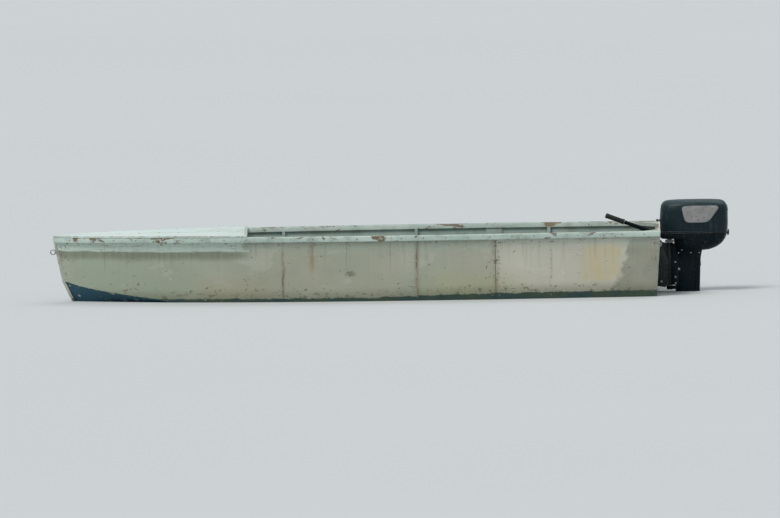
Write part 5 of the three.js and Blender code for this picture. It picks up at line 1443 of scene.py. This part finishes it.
# propeller
b = Body()
stations = np.array([24, 34, 44, 54, 64, 74, 84, 92, 98, 102, 104.6], float)
chord = np.interp(stations, [24, 44, 64, 84, 98, 105], [46, 64, 78, 78, 56, 20])
chord = np.where(stations > 90, 78 * np.sqrt(np.clip(1 - ((stations - 84) / 21.5) ** 2, 0.02, 1)), chord)
thick = np.interp(stations, [24, 44, 64, 84, 98, 105], [4.2, 3.6, 3.0, 2.4, 1.7, 0.9])
skew = np.interp(stations, [24, 44, 64, 84, 98, 105], [0, 3, 7, 13, 20, 26])
sec = np.linspace(0, 2 * np.pi, 28, endpoint=False)
rings = []
for r, ch, th, sk in zip(stations, chord, thick, skew):
    pitch = math.atan2(230 / (2 * math.pi), r)
    a1, h = -np.cos(sec) * 0.5 * ch, np.sin(sec) * th * (0.85 + 0.15 * np.cos(sec))
    camber = 0.035 * ch * (1 - (2 * a1 / ch) ** 2)
    h = h + camber * 0.6
    tx = a1 * math.sin(pitch) + h * math.cos(pitch)
    ty = a1 * math.cos(pitch) - h * math.sin(pitch) + sk
    ang = ty / r
    rings.append(np.stack([tx + sk * 0.25, r * np.sin(ang), r * np.cos(ang)], -1))
bv, bf = loft(np.array(rings) * MM)
for a in (0, 120, 240):
    m = np.array(Matrix.Rotation(math.radians(a), 3, "X"))
    b.add((bv @ m.T + np.array([2.556, 0, PROP_Z]), bf))
b.add(turn([(q[0] * MM, q[1] * MM) for q in ((9.8, -33), (29, -33), (32, -31.5), (34, -27), (33, -10), (31.4, 24), (31, 28), (28, 31.5), (24, 34), (21, 36), (9.8, 36.2))], "x", (2.556, 0, PROP_Z), 48))
b.add(turn([(0.0098, 0.0362), (0.016, 0.0362), (0.016, 0.039), (0.0095, 0.0395)], "x", (2.556, 0, PROP_Z), 24), 1)
b.add(turn([(0.0138, 0.0380), (0.0138, 0.0430), (0.0120, 0.0440)], "x", (2.556, 0, PROP_Z), 6), 1)
b.piece("propeller_wheel", "propeller", [PROP, BRIGHT], replaces="propeller", slot="propeller_metal", sharp=40)

# brackets, tube and pins stay as CAD, with softened edges, nuts and ribs
for name, sign in SIGN.items():
    dress(f"clamp_bracket_{name}", CASTING, (0.0016, 2))
dress("swivel_bracket", CASTING, (0.0014, 2))
dress("tiller_bracket", CASTING, (0.0010, 2))
dress("tilt_tube", STEEL, (0.001, 2))
dress("thrust_pin", STEEL, (0.001, 2))
dress("steering_shaft", STEEL, (0.0012, 2))
dress("powerhead_block", ENGINE, (0.003, 2))
dress("shift_lever", CASTING, (0.0012, 2))
b = Body()
for s in (-1, 1):
    b.add(washer((2.196, s * 0.0745, 0.350), (0, s, 0), 0.019, 0.002))
    b.add(hexhead((2.196, s * 0.0765, 0.350), (0, s, 0), 0.0165, 0.011))
    b.add(hexhead((2.208, s * 0.0745, 0.077), (0, s, 0), 0.0100, 0.006))
b.piece("bracket_nuts", "hull", [STEEL], slot="steel", sharp=30)
b = Body()
for s in (-1, 1):
    # stiffening rib and the row of tilt pin holes on each bracket's outer face, the holes as near-black discs of
    # painted shade
    y0, y1 = (0.0735, 0.0765) if s > 0 else (-0.0765, -0.0735)
    b.add(prism([(2.187, 0.325), (2.196, 0.322), (2.214, 0.108), (2.205, 0.108)], "y", y0, y1, 0.0009, 2))
    for k in range(6):
        hz = 0.068 + 0.032 * k
        hx = 2.242 - 0.35 * (hz - 0.150) ** 2
        ring = turn([(0.0058, 0.0738), (0.0058, 0.0744)], "y", (hx, 0, hz), 18)
        b.add(ring if s > 0 else mirror(ring), 1)
b.piece("bracket_ribs", "hull", [CASTING, HOLE_SHADE], slot="bracket_casting", sharp=30)

# clamp screws: threaded shaft, swivel pad, tommy bar with rounded ends
for name, sign in SIGN.items():
    y = sign * 0.068
    b = Body()
    prof = [(0.0066, 2.054)]
    for k in range(34):
        x = 2.0555 + 0.0022 * k
        prof += [(0.0071, x + 0.0004), (0.0062, x + 0.0014)]
    prof += [(0.0068, 2.1312)]
    b.add(turn(prof, "x", (0, y, 0.250), 20))
    b.add(turn([(0.0090, 2.1300), (0.0150, 2.1325), (0.0205, 2.1350), (0.0210, 2.1385), (0.0195, 2.1396)], "x", (0, y, 0.250), 32))
    b.add(turn([(0.0088, 2.0462), (0.0100, 2.0475), (0.0100, 2.0590), (0.0088, 2.0605)], "x", (0, y, 0.250), 24))
    yy = np.linspace(-0.0395, 0.0395, 21)
    rr = 0.0046 + 0.0021 * np.exp(-(((np.abs(yy) - 0.036) / 0.0042) ** 2))
    rr[0] = rr[-1] = 0.0040
    b.add(tube(np.stack([np.full_like(yy, 2.053), y + yy, np.full_like(yy, 0.250)], -1), rr, 16))
    b.piece(f"clamp_handle_{name}", "hull", [BRIGHT], replaces=f"clamp_screw_{name}", slot="screw_steel", sharp=50)

# tiller arm and twist grip, built straight and tilted up about the fold pin
FOLD = np.array([2.158, 0, 0.432])
RISE = 20.5
arm_t = [(-226, 12.6, 12.6), (-200, 12.9, 12.9), (-120, 14, 15), (-60, 14.6, 16.4), (-30, 15, 17), (0, 15, 17)]
tb = np.array(arm_t, float)
rings = []
for x in np.linspace(-226, -6, 36):
    w, h = np.interp(x, tb[:, 0], tb[:, 1]), np.interp(x, tb[:, 0], tb[:, 2])
    t = np.linspace(0, 2 * np.pi, 32, endpoint=False)
    rings.append(np.stack([np.full(32, x), w * np.sign(np.cos(t)) * np.abs(np.cos(t)) ** 0.7, h * np.sign(np.sin(t)) * np.abs(np.sin(t)) ** 0.7], -1))
b = Body()
b.add(swing((loft(np.array(rings) * MM)[0] + FOLD, loft(np.array(rings))[1]), RISE, FOLD))
b.add(turn([(0.0165, -0.0142), (0.0170, -0.0135), (0.0170, 0.0135), (0.0165, 0.0142)], "y", tuple(FOLD), 36))
b.add(swing((np.array(turn([(0.0135, -0.226), (0.0150, -0.224), (0.0150, -0.214), (0.0138, -0.211)], "x", (0, 0, 0), 32)[0]) + FOLD, turn([(0.0135, -0.226), (0.0150, -0.224), (0.0150, -0.214), (0.0138, -0.211)], "x", (0, 0, 0), 32)[1]), RISE, FOLD))
b.piece("tiller_handle", "tiller", [LEG], replaces="tiller_arm", slot="motor_paint", sharp=40)
b = Body()
prof = [(0.0120, -0.3715), (0.0155, -0.3705), (0.0180, -0.3670), (0.0188, -0.3600), (0.0185, -0.3520)]
for k in range(15):
    x = -0.3480 + 0.0066 * k
    prof += [(0.0184, x), (0.0184, x + 0.0024), (0.0170, x + 0.0036), (0.0170, x + 0.0054)]
prof += [(0.0176, -0.2470), (0.0198, -0.2400), (0.0202, -0.2360), (0.0202, -0.2300), (0.0186, -0.2285)]
vf = turn(prof, "x", (0, 0, 0), 48, lambda a, h: 1 + 0.012 * np.cos(a * 10) if -0.36 < h < -0.25 else 1.0)
b.add(swing((np.array(vf[0]) + FOLD, vf[1]), RISE, FOLD))
vf = turn([(0.0065, -0.3725), (0.0075, -0.3718), (0.0075, -0.3680)], "x", (0, 0, 0), 20)
b.add(swing((np.array(vf[0]) + FOLD, vf[1]), RISE, FOLD), 1)
b.piece("twist_grip", "tiller", [GRIP, CASTING], replaces="tiller_grip", slot="grip_rubber", sharp=36)
b = Body()
for s in (-1, 1):
    b.add(washer((FOLD[0], s * 0.030, FOLD[2]), (0, s, 0), 0.0125, 0.0016))
    b.add(hexhead((FOLD[0], s * 0.0316, FOLD[2]), (0, s, 0), 0.0098, 0.0060))
for s in (-1, 1):
    for zq in (0.404, 0.454):
        b.add(hexhead((2.1980, s * 0.0262, zq), (-1, 0, 0), 0.0052, 0.0038))
b.piece("tiller_bolts", "motor", [STEEL], slot="steel", sharp=30)

# starter grip: a T handle with finger hollows
b = Body()
b.add(turn([(0.0048, 2.1900), (0.0048, 2.2042)], "x", (0, 0, 0.520), 16))
b.add(turn([(0.0100, 2.2010), (0.0120, 2.2022), (0.0120, 2.2052)], "x", (0, 0, 0.520), 24))
yy = np.linspace(-0.0415, 0.0415, 41)
rr = 0.0082 - 0.0011 * np.cos(yy / 0.0415 * math.pi * 4) - 0.002 * (np.abs(yy) / 0.0415) ** 8
b.add(tube(np.stack([np.full_like(yy, 2.1860), yy, np.full_like(yy, 0.520)], -1), rr, 20))
b.piece("starter_handle", "motor", [GRIP], replaces="starter_grip", slot="grip_rubber", sharp=45)

# knob on the shift lever
b = Body()
b.add(turn([(0.0085, 0.1560), (0.0098, 0.1575), (0.0098, 0.1635), (0.0085, 0.1650)], "y", (2.3385, 0, 0.4800), 24))
b.piece("shift_knob", "motor", [GRIP], slot="grip_rubber")

# ---------------------------------------------------------------- floor, light, camera
def floor_look():
    g = Mat("floor_look", rough=0.75, spec=0.2)
    a = g.noise(0.15, 2, 0.5)
    g.color(g.mix(g.step(a, 0.3, 0.7), (0.607, 0.632, 0.638), (0.614, 0.639, 0.645)))
    return g


# the floor lies at the waterline and stops inside the hull's sheets, so it isn't seen in the boat
def waterline(inset):
    pts = []
    for k, c, q in zip(K, C, S):
        a, b = (k, c) if c[2] > 0 else (c, q)
        if a[2] > 0:
            continue
        pts.append(a + (b - a) * (-a[2] / (b[2] - a[2])))
    pts = np.array(pts)[:, :2]
    n = unit(np.gradient(pts, axis=0))
    pts = pts + np.stack([n[:, 1], -n[:, 0]], -1) * inset
    pts = pts[(pts[:, 1] > 1.0) & (pts[:, 0] < 2200 - SHEER_AFT * RAKE - 12)][::8]
    x_end = 2200 - SHEER_AFT * RAKE - 12
    x_nose = pts[0, 0] - 4
    half = np.vstack([[x_nose, 0.0], pts, [x_end, pts[-1, 1]]])
    return np.vstack([half, (half * np.array([1, -1]))[::-1][:-1]]) * MM


me = bpy.data.meshes.new("floor")
hole = waterline(4.0)
mid = np.array([0.2, 0.0])
ring = lambda r: mid + unit(hole - mid) * r
loops = [np.column_stack([q, np.zeros(len(hole))]) for q in (hole, ring(6.0), ring(60.0), ring(900.0))]
n = len(hole)
me.from_pydata(np.vstack(loops).tolist(), [], [(i * n + j, i * n + (j + 1) % n, (i + 1) * n + (j + 1) % n, (i + 1) * n + j) for i in range(3) for j in range(n)])
bm = bmesh.new()
bm.from_mesh(me)
bmesh.ops.recalc_face_normals(bm, faces=bm.faces)
if sum(q.normal.z for q in bm.faces) < 0:
    bmesh.ops.reverse_faces(bm, faces=bm.faces)
bm.to_mesh(me)
bm.free()
me.materials.append(floor_look().m)
floor = bpy.data.objects.new("floor", me)
bpy.context.scene.collection.objects.link(floor)

world = bpy.data.worlds.new("studio")
bpy.context.scene.world = world
world.use_nodes = True
world.node_tree.nodes["Background"].inputs[0].default_value = (0.80, 0.86, 0.90, 1)
world.node_tree.nodes["Background"].inputs[1].default_value = 0.52


def sun(name, azimuth, height, power, softness, colour):
    """Broad even light from a direction: azimuth 0 comes from the camera's side, 90 from the stern."""
    l = bpy.data.lights.new(name, "SUN")
    l.energy, l.angle, l.color = power, math.radians(softness), colour
    ob = bpy.data.objects.new(name, l)
    a, e = math.radians(azimuth), math.radians(height)
    ob.rotation_mode = "QUATERNION"
    ob.rotation_quaternion = Vector((math.sin(a) * math.cos(e), -math.cos(a) * math.cos(e), math.sin(e))).to_track_quat("Z", "Y")
    bpy.context.scene.collection.objects.link(ob)


sun("key_light", -38, 52, 1.75, 24, (1.0, 0.975, 0.94))
sun("back_light", 150, 58, 0.55, 40, (0.95, 0.98, 1.0))

cam = bpy.data.cameras.new("camera")
cam.lens, cam.sensor_width, cam.clip_start, cam.clip_end = 900.0, 36.0, 1.0, 3000.0
camera = bpy.data.objects.new("camera", cam)
elevation = math.radians(3.4)
back = Vector((0, -math.cos(elevation), math.sin(elevation)))
camera.location = Vector((0.235, 0, 0.27)) + back * 142.0
camera.rotation_mode = "QUATERNION"
camera.rotation_quaternion = (-back).to_track_quat("-Z", "Y") @ Quaternion((0, 0, 1), math.radians(-0.95))
bpy.context.scene.collection.objects.link(camera)
bpy.context.scene.camera = camera
bpy.context.scene.view_settings.view_transform = "Standard"
